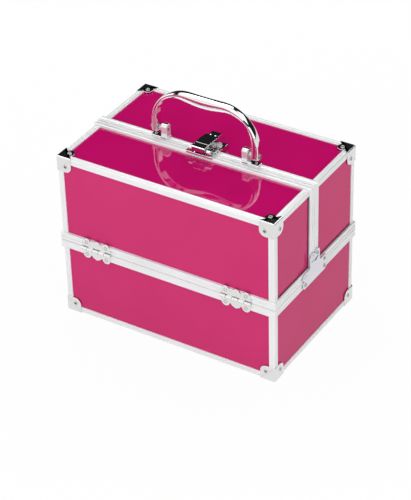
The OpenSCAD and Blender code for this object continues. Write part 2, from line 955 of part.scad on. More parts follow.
// Lock plate on the hood's rim, with the case of the lock behind it
module lock_body() {
    y1 = seam_y + lock_l;
    case_y = hood_v + rim_w + bead_long_w + 0.3;
    color("silver") place() difference() {
        union() {
            wide(latch_w, seam_y + 0.6, y1, z_r, plate_top);
            wide(latch_w, case_y, y1, z_b, z_r);
        }
        box(-6, latch_w - 1, case_y + 0.8, y1 - 1, z_b - 1, z_r);
        box(-3.5, 6, seam_y + 8.3, tongue_y + tongue_t + 2.6, z_b - 1, plate_top + 1);
        translate([plug_x, plug_y, z_b]) cylinder(r = plug_r + 0.05, h = 20);
        lock_fixings(true);
    }
}

// Key plug with the cam that turns into the hasp's tongue
module lock_plug() {
    color("silver") place() difference() {
        union() {
            translate([plug_x, plug_y, z_b + 0.9]) cylinder(r = plug_r, h = plate_top - z_b);
            translate([plug_x, plug_y, plate_top + 0.1]) cylinder(r = plug_r + 0.5, h = 0.9);
            box(plug_x - 1.2, plug_x + 1.2, plug_y, plug_y + cam_l, z_b + 1.5, z_b + 2.7);
        }
        box(plug_x - 0.4, plug_x + 0.4, plug_y - 2, plug_y + 2, plate_top - 1.5, plate_top + 2);
    }
}

// ---------- trays and arms ----------

// Blind hole for a pivot stud in a side of the case
module stud_hole(y, z) {
    rod(stud_r, x_f - 1, x_b - stud_cover, y, z);
}

// A stud from the side of the case, with a flange on its inner face and a small head
module stud(y, z, flange_x) {
    rod(stud_r, tray_x - tray_t - 1.2, x_b - stud_cover, y, z);
    rod(stud_r + 2, arm_x + arm_t + 0.4, flange_x, y, z);
}

module lid_studs() {
    color("silver") place() both_sides() {
        stud(a1_y, a1_z, x_i - lining_t);
        stud(a2_y, a2_z, x_i - lining_t);
    }
}

module tub_studs() {
    color("silver") place() both_sides() {
        rod(stud_r, arm_x - 0.6, x_b - stud_cover, o2_y, o2_z);
        rod(stud_r + 2, arm_x + arm_t + 0.4, x_f, o2_y, o2_z);
    }
}

// A tray with two dividers; its pivot holes are a lid pivot and an arm pivot
module tray(front, z0, py, pz) {
    difference() {
        union() {
            difference() {
                wide(tray_x, front, front + tray_d, z0, z0 + tray_h);
                wide(tray_x - tray_t, front + tray_t, front + tray_d - tray_t, z0 + tray_t, z0 + tray_h + 1);
            }
            both_sides() box(tray_x / 3 - 1, tray_x / 3 + 1, front + 1, front + tray_d - 1, z0 + 1, z0 + tray_h - 4);
        }
        rod(stud_r + stud_gap, -tray_x - 1, -tray_x + 5, py, pz);
        rod(stud_r + stud_gap, tray_x - 5, tray_x + 1, py, pz);
        rod(stud_r + stud_gap, -tray_x - 1, -tray_x + 5, py + link_in, pz - link_down);
        rod(stud_r + stud_gap, tray_x - 5, tray_x + 1, py + link_in, pz - link_down);
    }
}

// Felt mats, one on each compartment's floor
module tray_mats(front, z0) {
    z = z0 + tray_t;
    wide(tray_x / 3 - 1.5, front + tray_t + 0.5, front + tray_d - tray_t - 0.5, z, z + 1);
    both_sides() box(tray_x / 3 + 1.5, tray_x - tray_t - 0.5, front + tray_t + 0.5,
        front + tray_d - tray_t - 0.5, z, z + 1);
}

module tray_lower() {
    color("dimgray") place() tray(tray_front_1, a1_z - tray_pivot, a1_y, a1_z);
}

module tray_lower_mats() {
    color("black") place() tray_mats(tray_front_1, a1_z - tray_pivot);
}

module tray_upper() {
    color("dimgray") place() tray(tray_front_2, a2_z - tray_pivot, a2_y, a2_z);
}

module tray_upper_mats() {
    color("black") place() tray_mats(tray_front_2, a2_z - tray_pivot);
}

// Flat arms that stay parallel to the lid
module arms() {
    color("gainsboro") place() both_sides() difference() {
        translate([arm_x, o2_y, o2_z]) on_yz() linear_extrude(arm_t) rotate(crank_a) {
            circle(r = arm_w / 2);
            translate([0, -arm_w / 2]) square([crank_2, arm_w]);
            translate([crank_2, 0]) circle(r = arm_w / 2);
        }
        rod(stud_r + stud_gap, arm_x - 1, arm_x + arm_t + 1, o2_y, o2_z);
        rod(stud_r, arm_x - 1, arm_x + arm_t + 1, a1_y + link_in, a1_z - link_down);
        rod(stud_r, arm_x - 1, arm_x + arm_t + 1, a2_y + link_in, a2_z - link_down);
    }
}

module arm_pins() {
    color("silver") place() both_sides() {
        rod(stud_r, tray_x - tray_t - 1.2, arm_x + arm_t, a1_y + link_in, a1_z - link_down);
        rod(stud_r, tray_x - tray_t - 1.2, arm_x + arm_t, a2_y + link_in, a2_z - link_down);
    }
}

// ---------- drawing ----------

tub_floor();
tub_front();
tub_rear();
tub_left();
tub_right();
tub_trim();
tub_rim();
tub_lining();
tub_corners();
tub_rivets();
hood_top();
hood_rear();
hood_left();
hood_right();
hood_trim();
hood_rim();
hood_bead();
hood_lining();
hood_corners();
hood_rivets();
junction_plates();
splice_plates();
handle_posts();
handle_pins();
post_screws();
lock_body();
hinge_lower();
hinge_pins();
tub_studs();
lid_top();
lid_front();
lid_left();
lid_right();
lid_trim();
lid_rim();
lid_bead();
lid_lining();
lid_corners();
lid_rivets();
hinge_upper();
latch_plate();
latch_pin();
lid_studs();
handle();
hasp();
lock_plug();
tray_lower();
tray_lower_mats();
tray_upper();
tray_upper_mats();
arms();
arm_pins();
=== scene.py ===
# %% [markdown]
# # A makeup train case
# The case is a pink laminated box held together by aluminium extrusions. Its front
# lid swings down on two butterfly hinges and carries two trays out with it. The
# construction model gives the places and the main sizes; this lesson dresses it. Each
# step says what a piece is on the real object, how it could be made, and why one way
# was chosen.

# %% Load the construction model
import json
import math
import bpy
import numpy as np
from mathutils import Matrix, Vector


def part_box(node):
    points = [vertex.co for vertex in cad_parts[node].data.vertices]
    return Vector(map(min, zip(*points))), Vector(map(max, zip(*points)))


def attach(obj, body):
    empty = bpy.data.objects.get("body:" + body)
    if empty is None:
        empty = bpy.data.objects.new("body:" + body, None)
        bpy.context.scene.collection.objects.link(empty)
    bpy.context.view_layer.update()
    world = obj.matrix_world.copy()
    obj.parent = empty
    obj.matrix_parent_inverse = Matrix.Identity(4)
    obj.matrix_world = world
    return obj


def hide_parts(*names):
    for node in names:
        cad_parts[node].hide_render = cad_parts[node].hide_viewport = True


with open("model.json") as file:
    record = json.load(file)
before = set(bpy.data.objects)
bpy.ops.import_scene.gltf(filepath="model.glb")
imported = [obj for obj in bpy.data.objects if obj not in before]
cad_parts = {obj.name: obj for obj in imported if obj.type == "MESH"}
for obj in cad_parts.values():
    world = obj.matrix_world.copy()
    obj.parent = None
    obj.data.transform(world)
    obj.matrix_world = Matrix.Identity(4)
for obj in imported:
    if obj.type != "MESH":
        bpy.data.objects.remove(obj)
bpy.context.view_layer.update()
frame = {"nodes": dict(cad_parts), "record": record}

NODES = frame["nodes"]

# %% [markdown]
# ## Camera
# The case is seen from its front right, from above. The camera is placed by three
# angles: how far round it stands, how high it looks down from, and a slight roll.
# A long lens keeps the box's edges nearly parallel, as in a catalogue picture.

# %% Camera
CAMERA_PLACE = (1.077929, -1.699389, 1.492020)
AROUND, ABOVE, ROLL = (math.radians(v) for v in (32.472, 34.966, -1.663))
SENSOR, LENS, FAR_LIMIT = 36.0, 171.63, 20.0


def add_camera():
    """Axes: back points from the case to the camera, right is level, up is their
    cross product; right and up are then turned by the roll about back."""
    back = Vector((math.sin(AROUND) * math.cos(ABOVE),
                   -math.cos(AROUND) * math.cos(ABOVE), math.sin(ABOVE)))
    level = Vector((math.cos(AROUND), math.sin(AROUND), 0.0))
    upright = back.cross(level)
    right = level * math.cos(ROLL) + upright * math.sin(ROLL)
    up = upright * math.cos(ROLL) - level * math.sin(ROLL)
    data = bpy.data.cameras.new("camera")
    data.sensor_fit, data.sensor_width, data.lens = "HORIZONTAL", SENSOR, LENS
    data.clip_end = FAR_LIMIT
    camera = bpy.data.objects.new("camera", data)
    camera.matrix_world = Matrix.Translation(CAMERA_PLACE) @ Matrix(
        (right, up, back)).transposed().to_4x4()
    bpy.context.scene.collection.objects.link(camera)
    bpy.context.scene.camera = camera
    return camera


camera = add_camera()
print("lens", camera.data.lens, "mm, distance", round(Vector(CAMERA_PLACE).length, 3), "m")

# %% [markdown]
# ## Lamps
# Shiny cases are pictured under soft boxes. A gloss face mirrors whatever stands in
# front of it, so one lamp can't set both its colour and its sheen. The front, the
# two ends and the rear each have two kinds: a small strong key, which lights the
# face but is hidden from its mirror image, and a wide dim card, which is mirrored
# as an even sheen. A broad lamp overhead and a strip at the rear finish the tops.

# %% Lamps


def add_lamp(name, place, target, size, power, mirrored=True):
    """A soft box of width and height size at place, turned to look at target. A
    lamp that isn't mirrored lights the case but stays out of its glossy faces."""
    data = bpy.data.lights.new(name, "AREA")
    data.shape, data.energy = "RECTANGLE", power
    data.size, data.size_y = size
    lamp = bpy.data.objects.new(name, data)
    aim = (Vector(target) - Vector(place)).to_track_quat("-Z", "Y")
    lamp.matrix_world = Matrix.Translation(place) @ aim.to_matrix().to_4x4()
    lamp.visible_glossy = mirrored
    bpy.context.scene.collection.objects.link(lamp)
    return lamp


BODY, UPPER = (0, 0, 0.14), (0, 0, 0.2)
add_lamp("overhead", (-0.15, -0.35, 1.9), (-0.15, -0.349, 0.1), (3.0, 3.0), 32.0)
add_lamp("rear_strip", (-0.92, 1.42, 2.0), (0, 0, 0.23), (1.9, 0.5), 11.0)
add_lamp("front_key", (0.1, -1.8, 0.5), BODY, (0.8, 0.8), 12.0, mirrored=False)
add_lamp("front_card", (-0.2, -1.9, 0.8), UPPER, (2.6, 1.2), 12.0)
add_lamp("right_key", (1.8, -0.2, 0.6), BODY, (0.7, 0.7), 8.0, mirrored=False)
add_lamp("right_card", (1.9, -0.3, 0.8), UPPER, (2.0, 1.1), 9.0)
add_lamp("back_card", (1.15, 1.45, 1.9), BODY, (1.7, 0.8), 6.0)
add_lamp("rear_key", (-0.3, 1.8, 0.45), BODY, (0.8, 0.8), 14.0, mirrored=False)
add_lamp("left_key", (-1.8, 0.2, 0.45), BODY, (0.8, 0.8), 7.0, mirrored=False)
add_lamp("left_card", (-1.9, 0.0, 0.8), UPPER, (1.8, 1.1), 9.0)
print("lamps:", sorted(lamp.name for lamp in bpy.data.lights))

# %% [markdown]
# ## World and floor
# The sweep behind the case has to look white, but a white room would wash out its
# colours. A Light Path node tells a ray's kind, so the world and the floor can show
# white to the camera while the case is lit by a dim room and a plain pale floor, which
# still takes its shadow. Polished faces mirror most of the floor's white, dimmed.

# %% World


def add_glow(nodes, kind, colour, strength):
    """A node that shines by itself: Background for a world, Emission for a face."""
    glow = nodes.new(kind)
    glow.inputs["Color"].default_value = (*colour, 1)
    glow.inputs["Strength"].default_value = strength
    return glow


def add_mix(nodes, links, share, first, second, out):
    """The first shader where share is 0, the second where it is 1, into out."""
    mix = nodes.new("ShaderNodeMixShader")
    links.new(share, mix.inputs[0])
    links.new(first.outputs[0], mix.inputs[1])
    links.new(second.outputs[0], mix.inputs[2])
    links.new(mix.outputs[0], out.inputs["Surface"])


def add_world():
    """A dim grey room for the case's light, and white for the camera."""
    world = bpy.data.worlds.new("room")
    world.use_nodes = True
    nodes, links = world.node_tree.nodes, world.node_tree.links
    nodes.clear()
    out = nodes.new("ShaderNodeOutputWorld")
    room = add_glow(nodes, "ShaderNodeBackground", (0.9, 0.93, 1.0), 0.015)
    white = add_glow(nodes, "ShaderNodeBackground", (1, 1, 1), 1.0)
    path = nodes.new("ShaderNodeLightPath")
    add_mix(nodes, links, path.outputs["Is Camera Ray"], room, white, out)
    bpy.context.scene.world = world
    return world


print("world:", add_world().name)

# %% Floor
FLOOR_HALF, FLOOR_GREY = 14.0, (0.72, 0.72, 0.725)
GLOW_SHARE, GLOW_MIRRORED, GLOW_LOST = 0.96, 0.9, 0.15


def new_material(name):
    """An empty node material with its output; returns the tree's parts."""
    material = bpy.data.materials.new(name)
    material.use_nodes = True
    tree = material.node_tree
    tree.nodes.clear()
    out = tree.nodes.new("ShaderNodeOutputMaterial")
    return material, tree.nodes, tree.links, out


def add_maths(nodes, links, operation, *terms):
    """A Math node; each term is a number or another node's output."""
    node = nodes.new("ShaderNodeMath")
    node.operation = operation
    for socket, term in zip(node.inputs, terms):
        if isinstance(term, float):
            socket.default_value = term
        else:
            links.new(term, socket)
    return node.outputs[0]


def sweep():
    """White glow as a share of plain grey: all of GLOW_SHARE where the camera looks,
    GLOW_MIRRORED of that in a mirror image, dimmed by GLOW_LOST, and none elsewhere."""
    material, nodes, links, out = new_material("white_sweep")
    plain = nodes.new("ShaderNodeBsdfDiffuse")
    plain.inputs["Color"].default_value = (*FLOOR_GREY, 1)
    glow = add_glow(nodes, "ShaderNodeEmission", (1, 1, 1), 1.0)
    ray = nodes.new("ShaderNodeLightPath").outputs
    seen = add_maths(nodes, links, "MAXIMUM", ray["Is Camera Ray"], ray["Is Transmission Ray"])
    shown = add_maths(nodes, links, "MULTIPLY_ADD", ray["Is Glossy Ray"], GLOW_MIRRORED, seen)
    share = add_maths(nodes, links, "MULTIPLY", shown, GLOW_SHARE)
    bright = add_maths(nodes, links, "MULTIPLY_ADD", ray["Is Glossy Ray"], -GLOW_LOST, 1.0)
    links.new(bright, glow.inputs["Strength"])
    add_mix(nodes, links, share, plain, glow, out)
    return material


def add_floor():
    """A wide level square just below the case."""
    half = FLOOR_HALF
    mesh = bpy.data.meshes.new("floor")
    corners = [(-half, -half, 0), (half, -half, 0), (half, half, 0), (-half, half, 0)]
    mesh.from_pydata(corners, [], [(0, 1, 2, 3)])
    floor = bpy.data.objects.new("floor", mesh)
    bpy.context.scene.collection.objects.link(floor)
    mesh.materials.append(sweep())
    return floor


add_floor()
bpy.context.scene.view_settings.view_transform = "Standard"
print("floor", 2 * FLOOR_HALF, "m wide")

# %% [markdown]
# ## Finishes
# Pink high-gloss laminate, satin anodised extrusions, bright chrome, the milkier
# plated sheet, a partly matte chrome for the sides of the handle lugs that is painted
# sheen, black vinyl lining with a fine grain, and moulded black trays. Each could be
# one flat colour, but a real surface is never even: the helpers below add fine bumps
# and small changes of gloss from noise at real scale.

# %% Noise helpers
NOISE_LOW, NOISE_HIGH = 0.3, 0.7


def add_noise(nodes, links, scale, detail):
    """Noise in the piece's own metres: scale counts its blobs per metre."""
    place = nodes.new("ShaderNodeTexCoord")
    noise = nodes.new("ShaderNodeTexNoise")
    noise.inputs["Scale"].default_value = scale
    noise.inputs["Detail"].default_value = detail
    links.new(place.outputs["Object"], noise.inputs["Vector"])
    return noise.outputs[0]


def add_range(nodes, links, value, low, high):
    """Maps a noise value between NOISE_LOW and NOISE_HIGH onto low to high."""
    span = nodes.new("ShaderNodeMapRange")
    span.inputs["From Min"].default_value = NOISE_LOW
    span.inputs["From Max"].default_value = NOISE_HIGH
    span.inputs["To Min"].default_value = low
    span.inputs["To Max"].default_value = high
    links.new(value, span.inputs["Value"])
    return span.outputs[0]


def add_bump(nodes, links, value, shader, strength, distance):
    """Tilts the shader's normal by a height map of the given depth in metres."""
    bump = nodes.new("ShaderNodeBump")
    bump.inputs["Strength"].default_value = strength
    bump.inputs["Distance"].default_value = distance
    links.new(value, bump.inputs["Height"])
    links.new(bump.outputs[0], shader.inputs["Normal"])


def add_tint(nodes, links, value, dark, light, shader):
    """Blends two colours by a noise value and feeds the shader's colour."""
    ramp = nodes.new("ShaderNodeValToRGB")
    stops = ramp.color_ramp.elements
    for stop, position, colour in zip(stops, (NOISE_LOW, NOISE_HIGH), (dark, light)):
        stop.position = position
        stop.color = (*colour, 1)
    links.new(value, ramp.inputs[0])
    links.new(ramp.outputs[0], shader.inputs["Base Color"])


print("noise is used from", NOISE_LOW, "to", NOISE_HIGH)

# %% A finish made from noise
TINT_SCALE, WEAR_SCALE = 9.0, 63.0
TINT_DETAIL, WEAR_DETAIL, GRAIN_DETAIL = 3.0, 5.0, 2.0
COAT_ROUGHNESS, COAT_IOR = 0.02, 1.7


def surface(name, dark, light, gloss, metallic=0.0, grain=(900.0, 0.1, 0.00005), coat=0.0,
            specular=0.5):
    """A finish: a colour that drifts between dark and light, a gloss that drifts
    between two roughnesses, and a fine grain of (scale, strength, depth) or none."""
    material, nodes, links, out = new_material(name)
    shader = nodes.new("ShaderNodeBsdfPrincipled")
    links.new(shader.outputs[0], out.inputs["Surface"])
    shader.inputs["Metallic"].default_value = metallic
    shader.inputs["Specular IOR Level"].default_value = specular
    if coat:
        shader.inputs["Coat Weight"].default_value = coat
        shader.inputs["Coat Roughness"].default_value = COAT_ROUGHNESS
        shader.inputs["Coat IOR"].default_value = COAT_IOR
    drift = add_noise(nodes, links, TINT_SCALE, TINT_DETAIL)
    add_tint(nodes, links, drift, dark, light, shader)
    wear = add_noise(nodes, links, WEAR_SCALE, WEAR_DETAIL)
    links.new(add_range(nodes, links, wear, *gloss), shader.inputs["Roughness"])
    if grain:
        scale, strength, depth = grain
        fine = add_noise(nodes, links, scale, GRAIN_DETAIL)
        add_bump(nodes, links, fine, shader, strength, depth)
    return material


print("colour drifts at", TINT_SCALE, "and gloss at", WEAR_SCALE, "blobs a metre")

# %% Boards and metals
PINK_TOP = surface("pink_laminate_top", (0.505, 0.002, 0.122), (0.53, 0.004, 0.132), (0.02, 0.05),
                   grain=(160.0, 0.05, 0.0001), coat=1.0, specular=0.2)
# The upright boards get a paler pink than the tops: painted sheen for the haze of light on them.
PINK_PAINTED_SHEEN = surface("pink_laminate_painted_sheen", (0.505, 0.025, 0.130), (0.53, 0.028, 0.140), (0.02, 0.05),
               grain=(160.0, 0.05, 0.0001), specular=0.12)
BLACK_BOARD = surface("black_laminate", (0.02, 0.02, 0.02), (0.03, 0.03, 0.03), (0.35, 0.5))
ALUMINIUM = surface("satin_aluminium", (0.79, 0.79, 0.80), (0.86, 0.86, 0.87), (0.29, 0.37),
                    metallic=0.45, grain=None)
CHROME = surface("bright_chrome", (0.84, 0.84, 0.84), (0.9, 0.9, 0.9), (0.03, 0.07), metallic=1.0,
                 grain=(60.0, 0.02, 0.0001))
PLATED = surface("plated_sheet", (0.76, 0.75, 0.82), (0.86, 0.85, 0.90), (0.10, 0.18),
                 metallic=1.0)
# Partly matte chrome for the sides of the handle lugs, chosen by which way faces look: a painted
# sheen.
LUG_SIDE_PAINTED_SHEEN = surface("lug_side_chrome_painted_sheen", (0.84, 0.83, 0.84), (0.9, 0.89, 0.9), (0.06, 0.12), metallic=0.6)
STEEL = surface("zinc_steel", (0.55, 0.55, 0.54), (0.66, 0.65, 0.63), (0.30, 0.42), metallic=1.0)
RIVET = surface("nickel_rivet", (0.62, 0.6, 0.56), (0.75, 0.72, 0.67), (0.12, 0.22), metallic=1.0)
# Dark brown painted shade for the rivets' bores, which the mesh leaves nearly flat.
BORE_PAINTED_SHADE = surface("rivet_bore_painted_shade", (0.07, 0.045, 0.03), (0.12, 0.08, 0.055), (0.5, 0.7))
print(len(bpy.data.materials), "materials so far")

# %% Black finishes
# Black painted shade, for the strips in the board joints where the joint lies in shadow.
GAP_SHADE_BLACK = surface("black_painted_gap_shade", (0.012, 0.012, 0.012), (0.02, 0.02, 0.02), (0.45, 0.6))
LINING = surface("vinyl_lining", (0.018, 0.018, 0.02), (0.03, 0.03, 0.033), (0.5, 0.7),
                 grain=(700.0, 0.6, 0.0004))
TRAY = surface("tray_plastic", (0.02, 0.02, 0.021), (0.032, 0.032, 0.034), (0.35, 0.5),
               grain=(1200.0, 0.25, 0.0001))
FELT = surface("felt_mat", (0.012, 0.012, 0.013), (0.03, 0.03, 0.032), (0.9, 1.0),
               grain=(1500.0, 1.0, 0.0005))
print("finishes:", sorted(material.name for material in bpy.data.materials))

# %% [markdown]
# ## The construction solids get their finish
# Boards, linings and screws are flat or hidden, so the construction model's own solids
# serve, and only need a material. The two tops have a clear coat over a deep pink,
# which gives them their wet look; the upright boards get a paler pink, painted sheen
# that stands in for the haze of light on them.

# %% Dress the construction solids
BY_SLOT = {"pink_panel": PINK_PAINTED_SHEEN, "board_black": BLACK_BOARD, "aluminium": ALUMINIUM,
           "chrome": CHROME, "rivets": RIVET, "steel": STEEL, "seal": GAP_SHADE_BLACK,
           "lining": LINING, "tray_plastic": TRAY, "felt": FELT}
SLOT_OF = {part["node"]: part["material_slot"] for part in frame["record"]["subparts"]}


def dress(piece, material):
    """Puts one material into every slot of a piece."""
    piece.data.materials.clear()
    piece.data.materials.append(material)


for name, node in NODES.items():
    dress(node, PINK_TOP if name in ("lid_top", "hood_top") else BY_SLOT[SLOT_OF[name]])
print(len(NODES), "construction nodes dressed")

# %% [markdown]
# ## Mesh helpers
# Most fittings are pressed or extruded metal, so a few shapes of mesh are enough:
# a skin over a row of rings, a flat plate with a rounded edge, and a turned shape.
# Each is worked out as arrays in millimetres around the case's own middle, and
# the last helper moves the points to the frame and turns every face outwards.

# %% Millimetres around the case's middle
MM = 0.001
LOW, HIGH = (np.array(corner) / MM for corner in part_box("tub_trim"))
MIDDLE = np.array([0.0, (LOW[1] + HIGH[1]) / 2, 0.0])


def box_mm(node):
    """The lowest and highest corner of a construction node, around the case's middle."""
    return [np.array(corner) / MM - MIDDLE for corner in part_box(node)]


print("case middle at", MIDDLE, "mm")

# %% Arcs and skins


def arc(centre, radius, start, end, count):
    """Points (count, 2) on a circle: centre + radius * (cos, sin), start to end degrees."""
    turn = np.radians(np.linspace(start, end, count))
    return np.column_stack([centre[0] + radius * np.cos(turn), centre[1] + radius * np.sin(turn)])


def skin(rings, closed=False):
    """Faces over rings (m, k, 3): each quad joins a step around a ring to the next
    ring; an open row gets its first and last ring as caps."""
    m, k = rings.shape[:2]
    i = np.arange(m if closed else m - 1)[:, None]
    j = np.arange(k)[None, :]
    ahead, right = (i + 1) % m, (j + 1) % k
    quads = np.stack([i * k + j, i * k + right, ahead * k + right, ahead * k + j], -1)
    groups = [quads.reshape(-1, 4)]
    if not closed:
        groups += [np.arange(k)[None, ::-1], (m - 1) * k + np.arange(k)[None, :]]
    return rings.reshape(-1, 3), groups


print("a half circle of 5 points starts at", arc((0.0, 0.0), 1.0, 0, 180, 5)[0])

# %% Plates, turned shapes and blocks
PLATE_TURN = np.radians([0, 30, 60, 90])


def plate(outline, thick, edge, base=0.0):
    """A plate on the XY plane: the outline (k, 2), given anticlockwise, rises to
    thick, and its last edge millimetres follow a quarter circle inwards, by
    edge * (1 - cos turn) across and edge * sin turn up."""
    outline = np.asarray(outline, float)
    along = np.roll(outline, -1, 0) - np.roll(outline, 1, 0)
    out = np.column_stack([along[:, 1], -along[:, 0]])
    out /= np.linalg.norm(out, axis=1)[:, None] + 1e-9
    inset = np.concatenate([[0], edge * (1 - np.cos(PLATE_TURN))])
    level = np.concatenate([[0], thick - edge + edge * np.sin(PLATE_TURN)]) + base
    flat = outline[None] - out[None] * inset[:, None, None]
    return skin(np.dstack([flat, np.broadcast_to(level[:, None], flat.shape[:2])]))


def turned(profile, count=24):
    """A turned shape about Z: each (radius, height) of the profile is one circle."""
    profile = np.asarray(profile, float)
    turn = np.linspace(0, 2 * np.pi, count, endpoint=False)
    rings = np.stack([profile[:, :1] * np.cos(turn), profile[:, :1] * np.sin(turn),
                      np.broadcast_to(profile[:, 1:], (len(profile), count))], -1)
    return skin(rings)


def block(low, high):
    """A plain box between two opposite corners."""
    (x0, y0, z0), (x1, y1, z1) = low, high
    square = np.array([[x0, y0], [x1, y0], [x1, y1], [x0, y1]])
    return skin(np.stack([np.column_stack([square, np.full(4, z)]) for z in (z0, z1)]))


print("a short rod has", len(turned([(1.0, 0.0), (1.0, 1.0)])[0]), "points")

# %% Placing shells


def placed(shell, origin, x_axis, y_axis, z_axis):
    """Turns and moves a shell: each point (x, y, z) of it goes to
    origin + x * x_axis + y * y_axis + z * z_axis."""
    points, groups = shell
    return points @ np.array([x_axis, y_axis, z_axis], float) + np.array(origin, float), groups


def both_sides(shells):
    """The shells and their mirror images across the middle, where x becomes -x."""
    return list(shells) + [(points * [-1, 1, 1], groups) for points, groups in shells]


def volume(points, groups):
    """Signed volume: the sum over all triangles of a . (b x c) / 6."""
    total = 0.0
    for faces in groups:
        a = points[faces[:, 0]][:, None]
        b, c = points[faces[:, 1:-1]], points[faces[:, 2:]]
        total += np.sum(a * np.cross(b, c)) / 6
    return total


print("a block of 1 x 2 x 3 mm holds", volume(*block((0, 0, 0), (1, 2, 3))), "cubic mm")

# %% Making a piece
CREASE = 40.0


def add_piece(name, shells, materials, body, nodes, bevel=0.0, crease=CREASE, pick=None):
    """One piece of closed shells that rides a body and stands for some nodes. It is
    smooth but for edges sharper than crease, and a bevel rounds those. pick gives
    each face's material from its middle and normal."""
    points, faces, start = [], [], 0
    for place, groups in shells:
        turn = 1 if volume(place, groups) > 0 else -1
        faces += [row for group in groups for row in (group[:, ::turn] + start).tolist()]
        points.append(place)
        start += len(place)
    mesh = bpy.data.meshes.new(name)
    mesh.from_pydata((np.concatenate(points) + MIDDLE) * MM, [], faces)
    mesh.shade_smooth()
    mesh.set_sharp_from_angle(angle=math.radians(crease))
    materials = materials if isinstance(materials, (list, tuple)) else [materials]
    for material in materials:
        mesh.materials.append(material)
    piece = bpy.data.objects.new(name, mesh)
    bpy.context.scene.collection.objects.link(piece)
    if pick is not None:
        middle, normal = np.empty(len(faces) * 3), np.empty(len(faces) * 3)
        mesh.polygons.foreach_get("center", middle)
        mesh.polygons.foreach_get("normal", normal)
        index = pick(middle.reshape(-1, 3) / MM - MIDDLE, normal.reshape(-1, 3))
        mesh.polygons.foreach_set("material_index", index.astype(np.int32))
    if bevel:
        rounder = piece.modifiers.new("rounded_edges", "BEVEL")
        rounder.width, rounder.segments = bevel * MM, 2
        rounder.limit_method, rounder.angle_limit = "ANGLE", math.radians(crease)
        rounder.use_clamp_overlap = True
    weigh = piece.modifiers.new("flat_faces_stay_flat", "WEIGHTED_NORMAL")
    weigh.keep_sharp = not bevel
    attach(piece, body)
    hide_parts(*nodes)
    print(name, "has", len(faces), "faces in", len(shells), "shells")
    return piece


print("edges that turn by more than", CREASE, "degrees stay sharp")

# %% [markdown]
# ## Sizes shared by the pieces
# The pieces must sit exactly where the construction model puts them, so the main
# planes are read from its boxes. Widths that no single box shows are named here: a
# rim has a web across the boards' edge and a flange down their inside.

# %% Shared sizes, in millimetres
X_TRIM, Y_TRIM, Z_BASE = HIGH[0], (HIGH[1] - LOW[1]) / 2, LOW[2]
Z_TRIM = box_mm("hood_trim")[1][2]
X_RIM, Y_RIM, Z_TUB = box_mm("tub_rim")[1]
Z_TUB_RIM = box_mm("tub_rim")[0][2]
Z_RIM, Z_UP = box_mm("hood_rim")[1][2], box_mm("hood_rim")[0][2]
Z_SEAM = (Z_TUB + Z_UP) / 2
HOOD_FACE, LID_FACE = box_mm("hood_rim")[0][1], box_mm("lid_rim")[1][1]
SEAM_Y = (HOOD_FACE + LID_FACE) / 2
X_BOARD, X_INNER = box_mm("tub_right")[1][0], box_mm("tub_right")[0][0]
Y_BOARD = box_mm("tub_rear")[1][1]
Z_BOARD = box_mm("hood_top")[1][2]
RIM_HIGH, RIM_WIDE = Z_TUB - Z_TUB_RIM, 10.2
TRIM_WIDE, TRIM_THICK = 8.0, X_TRIM - X_BOARD
BOARD, FLANGE, WEB = X_BOARD - X_INNER, 1.3, 3.0
print("boards to", X_BOARD, Y_BOARD, Z_BOARD, "rims to", X_RIM, Y_RIM, Z_RIM)

# %% [markdown]
# ## Rims
# The mid-band and the band beside the lid seam are one aluminium channel, cut and
# mitred round the case: it slips over the edge of the boards, and its face has a
# shallow groove and rounded lips. Boxes with bevels would lose the groove, so the
# channel's true section is swept round the corners, each ring lying in the mitre.

# %% Rims
NEAR_LIP, FAR_LIP, INNER_LIP = 0.7, 1.5, 0.5
GROOVE_HALF, GROOVE_DEEP, GROOVE_SLOPE = 1.2, 0.45, 0.55
FILLET, FILLET_IN, FILLET_UP = 0.35, 0.22, 0.3


def rim_section(width):
    """The channel's section (k, 2): first column millimetres outside the boards,
    second the share of the width, 0 on the seam face; lips, groove and slot."""
    reach, mid, inner = X_RIM - X_BOARD, width / 2, INNER_LIP - BOARD - FLANGE
    half, sink, slope = GROOVE_HALF, GROOVE_DEEP, GROOVE_SLOPE
    rows = [arc((reach - NEAR_LIP, NEAR_LIP), NEAR_LIP, -90, 0, 5),
            arc((reach - sink, mid - half - sink), sink, 0, 55, 4),
            arc((reach - FILLET_IN, mid - half + FILLET_UP), FILLET, 250, 200, 2),
            [[reach - sink, mid - half + slope], [reach - sink, mid + half - slope]],
            arc((reach - sink, mid + half + sink), sink, -55, 0, 4),
            arc((reach - FAR_LIP, width - FAR_LIP), FAR_LIP, 0, 90, 7),
            [[0, width], [0, WEB], [-BOARD, WEB]],
            arc((inner, width - INNER_LIP), INNER_LIP, 90, 180, 3),
            arc((inner, INNER_LIP), INNER_LIP, 180, 270, 3)]
    section = np.concatenate([np.asarray(row, float) for row in rows])
    section[:, 1] /= width
    return section


def rim_ring(section, corner, out, across):
    """Places a section at a mitre: corner + offset * out + share * across."""
    return np.array(corner) + section[:, :1] * np.array(out) + section[:, 1:] * np.array(across)


def tub_rim_rings(section):
    """Four mitres of a level rectangle, seam face up; signs of X and Y name them."""
    signs = [(1, -1), (1, 1), (-1, 1), (-1, -1)]
    return np.stack([rim_ring(section, (a * X_BOARD, b * Y_BOARD, Z_TUB), (a, b, 0),
                              (0, 0, -RIM_HIGH)) for a, b in signs])


def shell_rim_rings(section, face, back):
    """Six mitres of the upper loop: along the tub, round the outer corners and up
    over the case beside the seam; back is +1 for the hood and -1 for the lid."""
    up, deep = (0, 0, RIM_HIGH), (0, back * RIM_WIDE, 0)
    rings = []
    for side in (1, -1):
        seam = rim_ring(section, (side * X_BOARD, face, Z_UP), (side, 0, 0),
                        (0, back * RIM_WIDE, RIM_HIGH))
        corner = rim_ring(section, (side * X_BOARD, back * Y_BOARD, Z_UP), (side, back, 0), up)
        top = rim_ring(section, (side * X_BOARD, face, Z_BOARD), (side, 0, 1), deep)
        rings += [top, seam, corner] if side > 0 else [corner, seam, top]
    return np.stack(rings)


